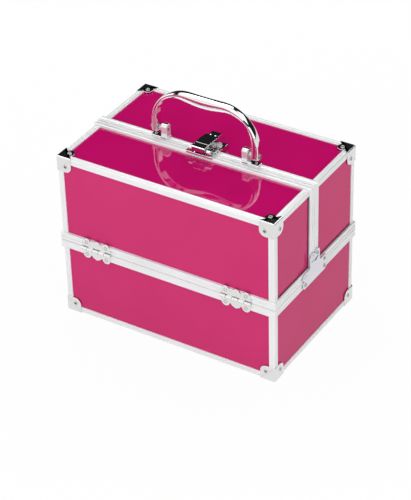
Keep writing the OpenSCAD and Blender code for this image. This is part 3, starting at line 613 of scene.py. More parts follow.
SECTION = rim_section(RIM_HIGH)
add_piece("tub_rim_channel", [skin(tub_rim_rings(SECTION), True)], ALUMINIUM, "case", ["tub_rim"])
add_piece("hood_rim_channel", [skin(shell_rim_rings(SECTION, HOOD_FACE, 1), True)], ALUMINIUM,
          "case", ["hood_rim"])
add_piece("lid_rim_channel", [skin(shell_rim_rings(SECTION, LID_FACE, -1), True)], ALUMINIUM,
          "lid", ["lid_rim"])
print("three rims of", len(SECTION), "points a section")

# %% [markdown]
# ## Beads in the board joints
# A narrow bead lies in the joint between a board and its rim. Beside the upright
# band and along the sides it is black: painted shade, a dark strip where the joint
# lies in shadow. Along the front, rear and top it is bare metal, so one set of thin
# blocks takes two finishes, chosen by where each face lies.

# %% Beads
BEAD, BEAD_LONG, BEAD_OUT, BEAD_IN = 0.9, 0.4, 0.8, 0.2


def bead_blocks(face, back):
    """Thin strips on the boards: along the long side, both sides, up and across."""
    near, far = face + back * RIM_WIDE, back * (Y_TRIM - TRIM_WIDE)
    wall, high = back * Y_BOARD, Z_UP + RIM_HIGH
    x0, x1, z1 = X_BOARD - BEAD_IN, X_BOARD + BEAD_OUT, Z_TRIM - TRIM_WIDE
    runs = [((x0, near, high), (x1, far, high + BEAD)),
            ((x0, near, high), (x1, near + back * BEAD, z1))]
    runs = both_sides([block(*run) for run in runs])
    long_half = X_TRIM - TRIM_WIDE
    runs += [block((-long_half, wall - back * BEAD_IN, high),
                   (long_half, wall + back * BEAD_OUT, high + BEAD_LONG)),
             block((-long_half, near, Z_BOARD - BEAD_IN),
                   (long_half, near + back * BEAD_LONG, Z_BOARD + BEAD_OUT))]
    return runs


def shade_or_bare_metal(middle, normal):
    """0, black painted shade of the joint, on the side faces of the case and 1, bare metal,
    elsewhere.
    """
    return np.abs(middle[:, 0]) < X_BOARD - 1.0


# The black faces of these beads are painted shade of the joint between board and rim.
add_piece("hood_gap_shade_strips", bead_blocks(HOOD_FACE, 1), [GAP_SHADE_BLACK, ALUMINIUM], "case", ["hood_bead"],
          pick=shade_or_bare_metal)
add_piece("lid_gap_shade_strips", bead_blocks(LID_FACE, -1), [GAP_SHADE_BLACK, ALUMINIUM], "lid", ["lid_bead"],
          pick=shade_or_bare_metal)
print("beads of", BEAD, "and", BEAD_LONG, "mm")

# %% [markdown]
# ## Edge trims
# Angle strips of thin aluminium protect the other edges of the boards. They come off
# the same kind of press as the rims: a rounded outer corner and a fine line down
# each leg. The section is swept along each run and mitred where two runs meet.

# %% Trims


def trim_section():
    """The angle's section (k, 2) as distances inwards from its two outer faces:
    a rounded corner, a shallow line in each leg and rounded ends."""
    bend, line, sink = 1.5, 3.6, 0.25
    leg = np.array([[0.0, bend], [0, line], [sink, line + 0.3], [sink, line + 0.9],
                    [0, line + 1.2], [0, TRIM_WIDE - 0.4], [0.15, TRIM_WIDE - 0.12],
                    [0.45, TRIM_WIDE], [TRIM_THICK, TRIM_WIDE]])
    bow = arc((bend, bend), bend, 180, 270, 7)[1:-1]
    return np.concatenate([leg[::-1], bow, leg[:, ::-1], [[TRIM_THICK, TRIM_THICK]]])


def upright_trim(section, x_sign, y_sign, low, high):
    """A corner strip between two heights: X and Y are those of the outer faces less
    the section's two distances, with the signs of the corner."""
    flat = np.column_stack([x_sign * (X_TRIM - section[:, 0]), y_sign * (Y_TRIM - section[:, 1])])
    return skin(np.stack([np.column_stack([flat, np.full(len(flat), z)]) for z in (low, high)]))


def base_trim(section):
    """The strip round the underside, with four mitres: the section's first distance
    goes in from the outer faces, the second up from the base."""
    signs = [(1, -1), (1, 1), (-1, 1), (-1, -1)]
    return skin(np.stack([np.column_stack([
        a * (X_TRIM - section[:, 0]), b * (Y_TRIM - section[:, 0]), Z_BASE + section[:, 1]])
        for a, b in signs]), True)


def top_trim(section, face, back):
    """The strip round three top edges, from one end of the seam rim to the other: the
    first distance goes in from the outer faces, the second down from the top."""
    near = face + back * RIM_WIDE
    stops = [(1, None), (1, 1), (-1, 1), (-1, None)]
    return skin(np.stack([np.column_stack([
        a * (X_TRIM - section[:, 0]),
        np.full(len(section), near) if b is None else back * (Y_TRIM - section[:, 0]),
        Z_TRIM - section[:, 1]]) for a, b in stops]))


ANGLE = trim_section()
UPRIGHT = (Z_BASE + TRIM_WIDE, Z_TUB_RIM, Z_UP + RIM_HIGH, Z_TRIM - TRIM_WIDE)
corners = [upright_trim(ANGLE, a, b, *UPRIGHT[:2]) for a in (1, -1) for b in (1, -1)]
add_piece("tub_angle", [base_trim(ANGLE)] + corners, ALUMINIUM, "case", ["tub_trim"])
for name, back, face, body in (("hood", 1, HOOD_FACE, "case"), ("lid", -1, LID_FACE, "lid")):
    corners = [upright_trim(ANGLE, a, back, *UPRIGHT[2:]) for a in (1, -1)]
    add_piece(name + "_angle", [top_trim(ANGLE, face, back)] + corners, ALUMINIUM, body,
              [name + "_trim"])
print("trims of", len(ANGLE), "points a section")

# %% [markdown]
# ## Corner brackets
# Each outer corner has a bracket of bright plated sheet, folded round the three
# faces and pulled tight over the corner. Plates alone would meet in knife edges,
# so a rod lies in each fold and a ball in the corner, all touching the outer faces.

# %% Corner brackets
SHEET, REACH, LOBE, FOLD = 1.0, 21.0, 8.5, 1.5
TOP_RIVET, TOP_LOBE = 12.0, 6.8


def side_flap():
    """Outline of an upright flap: square to the folds, one large round corner."""
    start = FOLD - 0.6
    bow = arc((REACH - LOBE, REACH - LOBE), LOBE, 0, 90, 13)
    return np.concatenate([[[start, start], [REACH - 0.5, start], [REACH, start + 0.5]], bow,
                           [[start + 0.5, REACH], [start, REACH - 0.5]]])


def top_flap():
    """Outline of a level flap: two pointed tips with a round rivet lobe between."""
    start = FOLD - 0.35
    bow = arc((TOP_RIVET, TOP_RIVET), TOP_LOBE, -78, 168, 19)
    tip = np.array([[REACH, start], [REACH, start + 0.6], [17.2, 2.7], [14.6, 4.1]])
    return np.concatenate([[[start, start]], tip, bow, tip[::-1, ::-1]])


def bracket(x_sign, y_sign, up):
    """One bracket at a corner: a ball, and a flap and a rod for each of the three
    axes, which point inwards along the edges; then turned to its own corner."""
    ends = [(0.05, 0.0), (0.9, 0.0), (FOLD, 0.4), (FOLD, REACH - FOLD - 0.4),
            (0.9, REACH - FOLD), (0.05, REACH - FOLD)]
    tilt = np.radians(np.linspace(-88, 88, 13))
    ball = turned(np.column_stack([FOLD * np.cos(tilt), FOLD * np.sin(tilt)]), 20)
    axes = np.eye(3)
    shells = [placed(ball, (FOLD,) * 3, *axes)]
    for k in range(3):
        u, v = axes[(k + 1) % 3], axes[(k + 2) % 3]
        outline, edge = (top_flap(), 0.35) if k == 2 else (side_flap(), 0.6)
        flap = plate(outline, SHEET, edge)
        shells.append(placed(flap, axes[k] * SHEET, u, v, -axes[k]))
        shells.append(placed(turned(ends, 20), (FOLD,) * 3, u, v, axes[k]))
    frame_axes = np.diag([-x_sign, -y_sign, -1.0 if up else 1.0])
    spot = np.array([x_sign * (X_TRIM + SHEET), y_sign * (Y_TRIM + SHEET),
                     Z_TRIM + SHEET if up else Z_BASE - SHEET])
    return [placed(shell, spot, *frame_axes) for shell in shells]


for name, y_signs, up, body in (("tub", (1, -1), False, "case"), ("hood", (1,), True, "case"),
                                ("lid", (-1,), True, "lid")):
    shells = [shell for b in y_signs for a in (1, -1) for shell in bracket(a, b, up)]
    add_piece(name + "_brackets", shells, CHROME, body, [name + "_corners"], crease=50)
print("eight corner brackets")

# %% [markdown]
# ## Rivets
# Hollow rivets hold the brackets, plates and hinges. Their places need no second
# list: each rivet is one solid of the construction model, so its box gives the
# place and the direction, and a turned eyelet is put there. Its bore is a shallow
# dish coloured dark brown, painted shade of the deep hole.

# %% The places of the rivets


def solids(node):
    """Boxes (n, 2, 3) of a node's separate solids: points at the same place count
    as one, and labels spread along the edges until none changes."""
    mesh = NODES[node].data
    points = np.empty(len(mesh.vertices) * 3)
    mesh.vertices.foreach_get("co", points)
    points = points.reshape(-1, 3) / MM - MIDDLE
    edges = np.empty(len(mesh.edges) * 2, np.int32)
    mesh.edges.foreach_get("vertices", edges)
    spots, same = np.unique(np.round(points, 2), axis=0, return_inverse=True)
    edges = same.reshape(-1)[edges.reshape(-1, 2)]
    label = np.arange(len(spots))
    while True:
        least = label.copy()
        np.minimum.at(least, edges[:, 0], label[edges[:, 1]])
        np.minimum.at(least, edges[:, 1], label[edges[:, 0]])
        least = least[least]
        if np.array_equal(least, label):
            break
        label = least
    groups = [spots[label == k] for k in np.unique(label)]
    return np.array([[group.min(0), group.max(0)] for group in groups])


RIVET_SPOTS = {name: solids(name + "_rivets") for name in ("tub", "hood", "lid")}
print("rivets:", {name: len(spots) for name, spots in RIVET_SPOTS.items()})

# %% Eyelets
EYELET_SIDES, EYELET_RINGS, BORE_STRIPS = 20, 15, 2
LARGE_RIVET, SHANK = 2.3, 1.2


def eyelet(low, high):
    """A rivet in its box: a shank, and a domed ring round a bore, facing outwards. The
    dome's radius is radius * (0.76 + 0.24 cos tilt), its height head * sin(tilt) ** 0.8."""
    size = high - low
    axis = int(np.argmax(size))
    radius, middle = np.delete(size, axis).min() / 2, (low + high) / 2
    out = 1.0 if axis == 2 else np.sign(middle[axis])
    head = 0.9 if radius > LARGE_RIVET else 0.6
    foot = head - size[axis]
    tilt = np.radians(np.linspace(0, 180, EYELET_RINGS - 6))
    dome = np.column_stack([radius * (0.76 + 0.24 * np.cos(tilt)), head * np.sin(tilt) ** 0.8])
    profile = np.concatenate([[(0.05, foot), (SHANK, foot), (SHANK, -0.05), (radius, -0.05)],
                              dome, [(radius * 0.5, 0.16), (0.05, 0.12)]])
    aim = np.zeros(3)
    aim[axis] = out
    side = np.roll(np.abs(aim), 1)
    seat = middle.copy()
    seat[axis] = (high if out > 0 else low)[axis] - out * head
    return placed(turned(profile, EYELET_SIDES), seat, side, np.cross(aim, side), aim)


def in_bore(middle, normal):
    """1, dark painted shade, for the faces of the bore: of each rivet's strips the last
    BORE_STRIPS, and of the two caps that follow the strips the last."""
    walls = (EYELET_RINGS - 1) * EYELET_SIDES
    row = np.arange(len(middle)) % (walls + 2)
    return (row >= walls - BORE_STRIPS * EYELET_SIDES) & (row != walls)


for name, spots in RIVET_SPOTS.items():
    add_piece(name + "_eyelets", [eyelet(*spot) for spot in spots], [RIVET, BORE_PAINTED_SHADE],
              "lid" if name == "lid" else "case", [name + "_rivets"], crease=70, pick=in_bore)
print("each eyelet has", EYELET_RINGS, "rings")

# %% [markdown]
# ## Side junction plates
# Where the upright band meets the mid-band, a pressed plate with lobed ends ties
# them together under a raised shield. The outline is drawn once from arcs, given a
# rounded edge, and mirrored; the shield is a second plate with a ridge down it.

# %% Junction plates
ARM, STEM_HALF, STEM_TOP = 29.5, 12.0, 30.9
SHIELD, SHIELD_RISE, RIDGE_RISE = 11.5, 0.8, 0.35
PLATE_GAP, PLATE, PAD_HALF = 0.4, 1.0, 22


def junction_outline():
    """Two lobes at the end of each arm and two on top of the stem, anticlockwise."""
    half = RIM_HIGH + 0.3
    lobe, small = half / 2, STEM_HALF / 2
    right = [arc((ARM - lobe, -lobe), lobe, -90, 78, 13),
             arc((ARM - lobe, lobe), lobe, -78, 90, 13),
             [[STEM_HALF + 1.2, half], [STEM_HALF, half + 1.2]],
             arc((small, STEM_TOP - small), small, 0, 165, 13)]
    right = np.concatenate([np.asarray(row, float) for row in right])
    return np.concatenate([right, right[::-1] * [-1, 1]])


def shield(base):
    """The raised middle: a V at the foot and a notched top. Each ring is the rim
    shrunk by a share about mid and lifted; the crease stands RIDGE_RISE higher."""
    top, foot = STEM_TOP - 13, RIM_HIGH - 1.5
    rim = np.array([[0.0, 1.0], [SHIELD, foot], [SHIELD, top], [SHIELD * 0.55, top + 2.2],
                    [0, top + 0.6], [-SHIELD * 0.55, top + 2.2], [-SHIELD, top], [-SHIELD, foot]])
    mid = np.array([0, (top + foot) / 2])
    rings = [(1.0, 0.0), (0.99, SHIELD_RISE * 0.3), (0.93, SHIELD_RISE * 0.75),
             (0.84, SHIELD_RISE * 0.97), (0.8, SHIELD_RISE)]
    layers = [np.column_stack([mid + (rim - mid) * share, np.full(len(rim), base + rise)])
              for share, rise in rings]
    layers[-1][[0, 4], 2] += RIDGE_RISE
    points, groups = skin(np.stack(layers))
    last = (len(rings) - 1) * len(rim)
    halves = [np.array([[0, 1, 2, 3, 4]]) + last, np.array([[0, 4, 5, 6, 7]]) + last]
    return points, groups[:-1] + halves


def junction_plate():
    """The plate, its shield, the dimples over the lid's rim and the pads behind,
    on the YZ plane with X outwards."""
    at, spot, face = ARM - RIM_HIGH * 0.55, (X_RIM, SEAM_Y, Z_SEAM), PLATE_GAP + PLATE
    button = [(2.7, 0.0), (2.7, 0.25), (2.2, 0.75), (1.2, 0.9), (0.05, 0.9)]
    shells = [plate(junction_outline(), PLATE, 0.6, PLATE_GAP), shield(face)]
    shells += [placed(turned(button, 20), (y, z, face), *np.eye(3))
               for y, z in ((-at, RIM_HIGH / 2), (-RIM_WIDE / 2 - 0.4, STEM_TOP - 6))]
    pads = [((-PAD_HALF, -RIM_HIGH), (PAD_HALF, -1)), ((1, 1), (PAD_HALF, RIM_HIGH)),
            ((1, 1), (RIM_WIDE, STEM_TOP - 4))]
    shells += [block((*low, 0), (*high, PLATE_GAP)) for low, high in pads]
    return [placed(shell, spot, (0, 1, 0), (0, 0, 1), (1, 0, 0)) for shell in shells]


add_piece("junction_pressings", both_sides(junction_plate()), PLATED, "case",
          ["junction_plates"])
print("outlines of", len(junction_outline()), "points")

# %% [markdown]
# ## Front hinges
# Two butterfly hinges: a leaf on the tub and one on the lid, each with two rivet
# lobes and a peak, rolled round a shared pin. The knuckles are turned with rounded
# ends, so that the barrel reads as one bright bar with fine gaps.

# %% Hinges
HINGE_X, HINGE_WIDE, LEAF, KNUCKLE, PIN, GAP = 100.0, 43.0, 1.0, 2.2, 1.0, 0.3
AXIS_Y, AXIS_Z = -Y_RIM - GAP - KNUCKLE, Z_SEAM


def leaf_outline():
    """Half a leaf from its foot round the rivet lobe to the peak, then mirrored."""
    at, lobe, foot, wide = RIM_HIGH * 0.8, HINGE_WIDE * 0.135, KNUCKLE + GAP, HINGE_WIDE
    corner = [[wide / 2 - 0.6, foot], [wide / 2, foot + 0.6], [wide / 2 - 0.2, foot + 2.6]]
    peak = [[wide * 0.185, at - 0.9], [wide * 0.155, RIM_HIGH - 0.9],
            [wide * 0.12, RIM_HIGH + 1.1], [wide * 0.06, RIM_HIGH + 2.2],
            [wide * 0.02, RIM_HIGH + 3.1]]
    half = np.concatenate([corner, arc((wide * 0.33, at), lobe, -12, 176, 17), peak])
    return np.concatenate([half, half[::-1] * [-1, 1]])


def bar(radius, low, high, y, z, dome=0.35):
    """A round bar along X between two places, each end cut twice to a dome."""
    ends = [(0.05, low), (radius - dome, low), (radius - dome * 0.3, low + dome * 0.3),
            (radius, low + dome), (radius, high - dome), (radius - dome * 0.3, high - dome * 0.3),
            (radius - dome, high), (0.05, high)]
    return placed(turned(ends), (0, y, z), (0, 1, 0), (0, 0, 1), (1, 0, 0))


def leaf(middle, up, knuckles):
    """A leaf at one hinge, up +1 or -1 from the axis, with its knuckles."""
    flat = placed(plate(leaf_outline(), LEAF + 0.2, 0.7), (middle, -Y_RIM, Z_SEAM), (1, 0, 0),
                  (0, 0, up), (0, -1, 0))
    shells = [flat]
    for low, high in knuckles:
        shells.append(bar(KNUCKLE, middle + low, middle + high, AXIS_Y, AXIS_Z))
        foot = [middle + low + 0.2, -Y_RIM - LEAF, Z_SEAM + 0.6 * up]
        head = [middle + high - 0.2, -Y_RIM - GAP, Z_SEAM + (KNUCKLE + GAP + 1) * up]
        shells.append(block(foot, head))
    return shells


STEP, ROD_HALF = HINGE_WIDE / 5, HINGE_WIDE / 2 + 0.02
OUTER = [(-2.5 * STEP, -1.5 * STEP), (-0.5 * STEP, 0.5 * STEP), (1.5 * STEP, 2.5 * STEP)]
INNER = [(-1.5 * STEP + GAP, -0.5 * STEP - GAP), (0.5 * STEP + GAP, 1.5 * STEP - GAP)]
for name, up, knuckles, body, node in (("hinge_leaves_tub", -1, OUTER, "case", "hinge_lower"),
                                       ("hinge_leaves_lid", 1, INNER, "lid", "hinge_upper")):
    shells = leaf(-HINGE_X, up, knuckles) + leaf(HINGE_X, up, knuckles)
    add_piece(name, shells, CHROME, body, [node], crease=50)
rod = bar(PIN, HINGE_X - ROD_HALF, HINGE_X + ROD_HALF, AXIS_Y, AXIS_Z)
add_piece("hinge_rods", both_sides([rod]), STEEL, "case", ["hinge_pins"])
print("hinge axis at", round(AXIS_Y, 2), round(AXIS_Z, 2), "mm")

# %% [markdown]
# ## Handle
# A cast, chromed handle: a strap with a domed crown, dished sides and a raised lip
# along the fingers' opening, deeper over the palm than in the legs. It is one skin:
# rings of a fixed section are stretched between the outer and the inner outline.

# %% Handle
GRIP_HALF, GRIP_LEG, GRIP_TOP, FOOT = 75.5, 9.0, 60.0, 4.0
GRIP_ROUND, HOLE_TOP, HOLE_ROUND, BULGE = 52.0, 51.5, 32.0, 4.2
PALM_DEEP, LEG_DEEP = 12.5 / 2, 11.0 / 2
LEG_FROM, EASE_OVER = 57.0, 23.0
PIVOT_Y, PIVOT_Z = HOOD_FACE + RIM_WIDE / 2, Z_RIM + 12.5


def grip_outline(half, top, bend, bulge):
    """From one foot over the top to the other: a leg, a quarter circle and a crown
    that sinks by bulge * (1 - (x / flat) ** 2) ** 1.5 in the middle."""
    flat = half - bend
    leg = np.column_stack([np.full(9, half), np.linspace(-FOOT, top - bend, 9)])
    bow = arc((flat, top - bend), bend, 0, 90, 25)[1:]
    x = np.linspace(flat, 0, 15)[1:]
    crown = np.column_stack([x, top - bulge * (1 - (x / flat) ** 2) ** 1.5])
    right = np.concatenate([leg, bow, crown])
    return np.concatenate([right, (right[:-1] * [-1, 1])[::-1]])


def grip_section():
    """Half the strap's section as (inner to outer -1 to 1, depth 0 to 1): a domed
    crown, a slightly dished side and a rounded lip; then its mirror image."""
    half = np.array([[1.0, 0.0], [0.985, 0.22], [0.94, 0.42], [0.86, 0.60], [0.74, 0.76],
                     [0.58, 0.89], [0.44, 0.955], [0.36, 0.97], [0.30, 0.955], [0.24, 0.925],
                     [0.0, 0.91], [-0.3, 0.90], [-0.54, 0.895], [-0.64, 0.92], [-0.72, 0.96],
                     [-0.81, 0.99], [-0.90, 0.96], [-0.97, 0.85], [-1.0, 0.68], [-1.0, 0.35]])
    return np.concatenate([half, [[-1.0, 0.0]], half[:0:-1] * [1, -1]])


def grip_rings():
    """Rings (m, k, 3): middle + share * half width across, and half the depth along
    Y, which goes from leg to palm by ease ** 2 * (3 - 2 * ease); the last rings
    shrink to round off the feet."""
    outer = grip_outline(GRIP_HALF, GRIP_TOP, GRIP_ROUND, 0.0)
    inner = grip_outline(GRIP_HALF - GRIP_LEG, HOLE_TOP, HOLE_ROUND, BULGE)
    middle, across = (outer + inner) / 2, (outer - inner) / 2
    ease = np.clip((LEG_FROM - np.abs(middle[:, 0])) / EASE_OVER, 0, 1)
    deep = LEG_DEEP + (PALM_DEEP - LEG_DEEP) * ease ** 2 * (3 - 2 * ease)
    section = grip_section()
    flat = middle[:, None] + across[:, None] * section[None, :, :1]
    rings = np.stack([flat[..., 0], deep[:, None] * section[None, :, 1], flat[..., 1]], -1)
    feet = []
    for ring in (rings[0], rings[-1]):
        centre = ring.mean(0)
        feet.append(np.array([centre + (ring - centre) * share + [0, 0, rise]
                              for share, rise in ((0.86, 0.0), (0.96, 0.25), (1.0, 0.7))]))
    return np.concatenate([feet[0], rings[1:-1], feet[1][::-1]])


grip = placed(skin(grip_rings()), (0, PIVOT_Y, PIVOT_Z), *np.eye(3))
add_piece("handle_casting", [grip], CHROME, "handle", ["handle"], crease=75)
print("handle pivot at", round(PIVOT_Y, 2), round(PIVOT_Z, 2), "mm")

# %% [markdown]
# ## Handle posts
# Each leg hangs on a pin through a cast lug that stands on a screwed base. The lug
# is an upright plate with round shoulders, and its edges are rounded as a casting's
# are. Where it looks up it is bright chrome; its sides get a partly matte copy of the
# chrome, chosen by the way they face: a painted sheen.

# %% Handle posts and pins
POST_X, POST_WIDE, POST_HALF = 53.0, 8.0, RIM_WIDE / 2 - 0.4
POST_HEAD, BASE_HIGH, BUSH = 7.0, 2.2, 3.4


def post():
    """A base and a lug: the lug's outline on YZ is upright with two round shoulders."""
    base = block((POST_X - 1, PIVOT_Y - POST_HALF, Z_RIM),
                 (GRIP_HALF + 0.5, PIVOT_Y + POST_HALF, Z_RIM + BASE_HIGH))
    rise, bend = PIVOT_Z - Z_RIM, POST_HALF - 1.2
    lug = np.concatenate([[[-POST_HALF, -rise], [POST_HALF, -rise]],
                          arc((POST_HALF - bend, POST_HEAD - bend), bend, 0, 90, 9),
                          arc((bend - POST_HALF, POST_HEAD - bend), bend, 90, 180, 9)])
    return [base, placed(plate(lug, POST_WIDE, 0.05), (POST_X, PIVOT_Y, PIVOT_Z),
                         (0, 1, 0), (0, 0, 1), (1, 0, 0))]


def looks_up(middle, normal):
    """1, bright chrome, on the faces that look up and 0, the partly matte chrome of painted
    sheen, on the others.
    """
    return normal[:, 2] > 0.5


pins = [bar(2.0, POST_X, GRIP_HALF + 1.2, PIVOT_Y, PIVOT_Z),
        bar(BUSH, POST_X + POST_WIDE, GRIP_HALF - GRIP_LEG - 0.3, PIVOT_Y, PIVOT_Z, 0.8),
        bar(BUSH, GRIP_HALF + 0.3, GRIP_HALF + 1.3, PIVOT_Y, PIVOT_Z, 0.5)]
add_piece("handle_lugs", both_sides(post()), [LUG_SIDE_PAINTED_SHEEN, CHROME], "case", ["handle_posts"],
          bevel=0.6, pick=looks_up)
add_piece("handle_pivots", both_sides(pins), STEEL, "case", ["handle_pins"], crease=50)
print("posts at x", POST_X, "to", GRIP_HALF, "mm")

# %% [markdown]
# ## Latch
# A sprung hasp hooks over the lock on the hood. It is folded from one sheet: a roof
# with a ridge, walls round three sides, and a thumb tab that is bent down a little.
# The parts are plates of the sheet's thickness with rounded edges, because one solid
# block would show neither the hollow underneath nor the thin tab.

# %% Plates of the latch
LATCH_HALF, LATCH_THICK, HASP_HALF, SHEET_THIN = 19.0, 2.6, 9.0, 1.2
HASP_Y, HASP_Z = SEAM_Y - 8.8, Z_RIM + 7.3
LATCH_TOP, TAB_END = Z_RIM + LATCH_THICK, SEAM_Y + 32.7
PLATE_Y, KNUCKLE_X = (SEAM_Y - 11.3, SEAM_Y - 0.6), (HASP_HALF + 0.8, LATCH_HALF - 3.5)
BARREL, STRIP_EDGE = 2.2, 0.45


def slab(x, y, z, edge, bend=1.0):
    """A level plate between two X, Y and Z values, with corners rounded by bend."""
    (x0, x1), (y0, y1) = x, y
    spots = [(x1 - bend, y1 - bend, 0), (x0 + bend, y1 - bend, 90), (x0 + bend, y0 + bend, 180),
             (x1 - bend, y0 + bend, 270)]
    outline = np.concatenate([arc((cx, cy), bend, turn, turn + 90, 5)
                              for cx, cy, turn in spots])
    return plate(outline, z[1] - z[0], edge, z[0])


def cross_strip(outline, low, high):
    """An outline on the YZ plane, from the hasp's pivot, as a plate between two X."""
    return placed(plate(outline, high - low, STRIP_EDGE), (low, HASP_Y, HASP_Z),
                  (0, 1, 0), (0, 0, 1), (1, 0, 0))


def strip_of(path, thick):
    """A bent sheet's outline: the path (k, 2) and the same path one thickness lower."""
    path = np.asarray(path, float)
    return np.concatenate([path, (path - [0, thick])[::-1]])[::-1]


print("latch pivot at", round(HASP_Y, 2), round(HASP_Z, 2), "mm")

# %% Hasp
NOSE, TAB_INSET, RIB_X, RIB_HALF = 4.0, 2.3, 3.4, 1.1
TONGUE_Y, TONGUE_THICK, TONGUE_HALF, TONGUE_END = SEAM_Y + 14.7, 2.5, 3.0, 5.5
TONGUE_LOW, TONGUE_SLOT = Z_BOARD + 0.6, (0.6, 2.4)


def hasp_shells():
    """Roof, thumb tab, side walls, front wall, spring rib, barrel, the tab's two ribs
    and a tongue of three blocks that leave the slot for the lock's cam."""
    tab = TAB_END - HASP_Y
    roof = [(-4, 4.4), (-3.4, 5.0), (-2.6, 5.15), (6.6, 5.15), (6.8, 5.5), (7.6, 5.5), (7.8, 5.2),
            (26.5, 5.2), (30.5, 3.9)]
    bent = [(28.5, 4.55), (30.5, 3.9), (tab - 1.2, 2.85), (tab, 2.7)]
    wall = [(-4, -1.2), (-2, -1.7), (0, -2.2), (2.5, -3.3), (30.5, -3.3), (30.5, 3.3),
            (26.5, 4.6), (-2, 4.6), (-4, 4.2)]
    inner = SHEET_THIN - NOSE
    front = [(-NOSE, -1.2), (inner, -1.2), (inner, 4.4), (-NOSE, 4.4)]
    spring = [(-0.6, 0.5), (0.6, 0.5), (0.6, 4.2), (-0.6, 4.2)]
    rib = [(30.9, 3.7), (tab - 2.0, 2.72), (tab - 1.4, 2.9), (tab - 1.8, 3.4), (31.6, 4.3)]
    shells = [cross_strip(strip_of(roof, SHEET_THIN), -HASP_HALF, HASP_HALF),
              cross_strip(strip_of(bent, SHEET_THIN), TAB_INSET - HASP_HALF,
                          HASP_HALF - TAB_INSET),
              cross_strip(wall, -HASP_HALF, SHEET_THIN - HASP_HALF),
              cross_strip(wall, HASP_HALF - SHEET_THIN, HASP_HALF),
              cross_strip(front, -HASP_HALF, HASP_HALF),
              cross_strip(spring, 0.5 - HASP_HALF, HASP_HALF - 0.5),
              bar(BARREL, -HASP_HALF, HASP_HALF, HASP_Y, HASP_Z)]
    shells += [cross_strip(rib, x - RIB_HALF, x + RIB_HALF) for x in (-RIB_X, RIB_X)]
    far, under, over = TONGUE_Y + TONGUE_THICK, *(TONGUE_LOW + rise for rise in TONGUE_SLOT)
    return shells + [block((-TONGUE_HALF, TONGUE_Y, over), (TONGUE_END, far, HASP_Z + 4.6)),
                     block((-TONGUE_HALF, TONGUE_Y, TONGUE_LOW), (TONGUE_HALF, far, over)),
                     block((TONGUE_HALF, TONGUE_Y, TONGUE_LOW), (TONGUE_END, far, under))]


def latch_shells():
    """The plate on the lid's rim, and an ear on each side that holds the pin."""
    near, far = KNUCKLE_X
    ears = [bar(BARREL, near, far, HASP_Y, HASP_Z),
            block((near + 0.1, HASP_Y - 1.6, LATCH_TOP - 0.5),
                  (far - 0.1, HASP_Y + 1.6, HASP_Z))]
    level = slab((-LATCH_HALF, LATCH_HALF), PLATE_Y, (Z_RIM, LATCH_TOP), 0.5)
    return [level] + both_sides(ears)


add_piece("latch_base", latch_shells(), CHROME, "lid", ["latch_plate"], crease=50)
rod = bar(PIN, -KNUCKLE_X[1], KNUCKLE_X[1], HASP_Y, HASP_Z)
add_piece("latch_rod", [rod], STEEL, "lid", ["latch_pin"], crease=50)
add_piece("hasp_cover", hasp_shells(), CHROME, "hasp", ["hasp"], crease=31)
print("hasp from y", round(HASP_Y - NOSE, 2), "to", round(TAB_END, 2), "mm")

# %% [markdown]
# ## Lock
# The lock is let into the hood's rim. Its face leaves a slot for the hasp's tongue
# and a round seat for the plug, so it is laid out in strips round the two, as a
# floor is laid round a pillar: every strip stays a simple closed shell.

# %% Lock face and case
LOCK_END, LOCK_CASE = SEAM_Y + 26.0, HOOD_FACE + RIM_WIDE + 0.8
SLOT_X, SLOT_Y = (-3.5, 6.0), (SEAM_Y + 8.3, SEAM_Y + 19.8)
PLUG_X, PLUG_Y, PLUG = 12.8, SEAM_Y + 15.95, 3.0


def lock_shells():
    """Three plates with rounded edges round the slot and the plug, four blocks that
    fill what they leave, and four walls of the case that stand on the board."""
    (left, right), start, end = SLOT_X, SEAM_Y + 0.6, LOCK_END
    near, far, level = PLUG_Y - PLUG, PLUG_Y + PLUG, (Z_RIM, LATCH_TOP)
    plates = [((-LATCH_HALF, left), (start, end)), ((right, LATCH_HALF), (start, near - 0.1)),
              ((right, LATCH_HALF), (far + 0.1, end))]
    fills = [((right, near - 0.6), (PLUG_X - PLUG - 0.1, far + 0.6)),
             ((PLUG_X + PLUG + 0.1, near - 0.6), (LATCH_HALF, far + 0.6)),
             ((left - 0.5, start), (right + 0.5, SLOT_Y[0])),
             ((left - 0.5, SLOT_Y[1]), (right + 0.5, end))]
    walls = [((-LATCH_HALF, LOCK_CASE), (LATCH_HALF, LOCK_CASE + 0.8)),
             ((-LATCH_HALF, end - 1), (LATCH_HALF, end)),
             ((-LATCH_HALF, LOCK_CASE), (-6, end)),
             ((LATCH_HALF - 1, LOCK_CASE), (LATCH_HALF, end))]
    shells = [slab(x, y, level, 0.4, 0.8) for x, y in plates]
    shells += [block((*low, Z_RIM), (*high, LATCH_TOP)) for low, high in fills]
    return shells + [block((*low, Z_BOARD), (*high, Z_RIM + 0.2)) for low, high in walls]


add_piece("lock_case", lock_shells(), CHROME, "case", ["lock_body"], crease=35)
print("lock slot", [round(v, 2) for v in SLOT_Y], "mm")

# %% Lock plug
CAP_FOOT, CAP_HIGH, CAP_ARC = 1.2, 1.0, 83
CAM_HALF, CAM_SHORT, CAM_LEVEL = 1.2, 1.45, (1.5, 2.7)


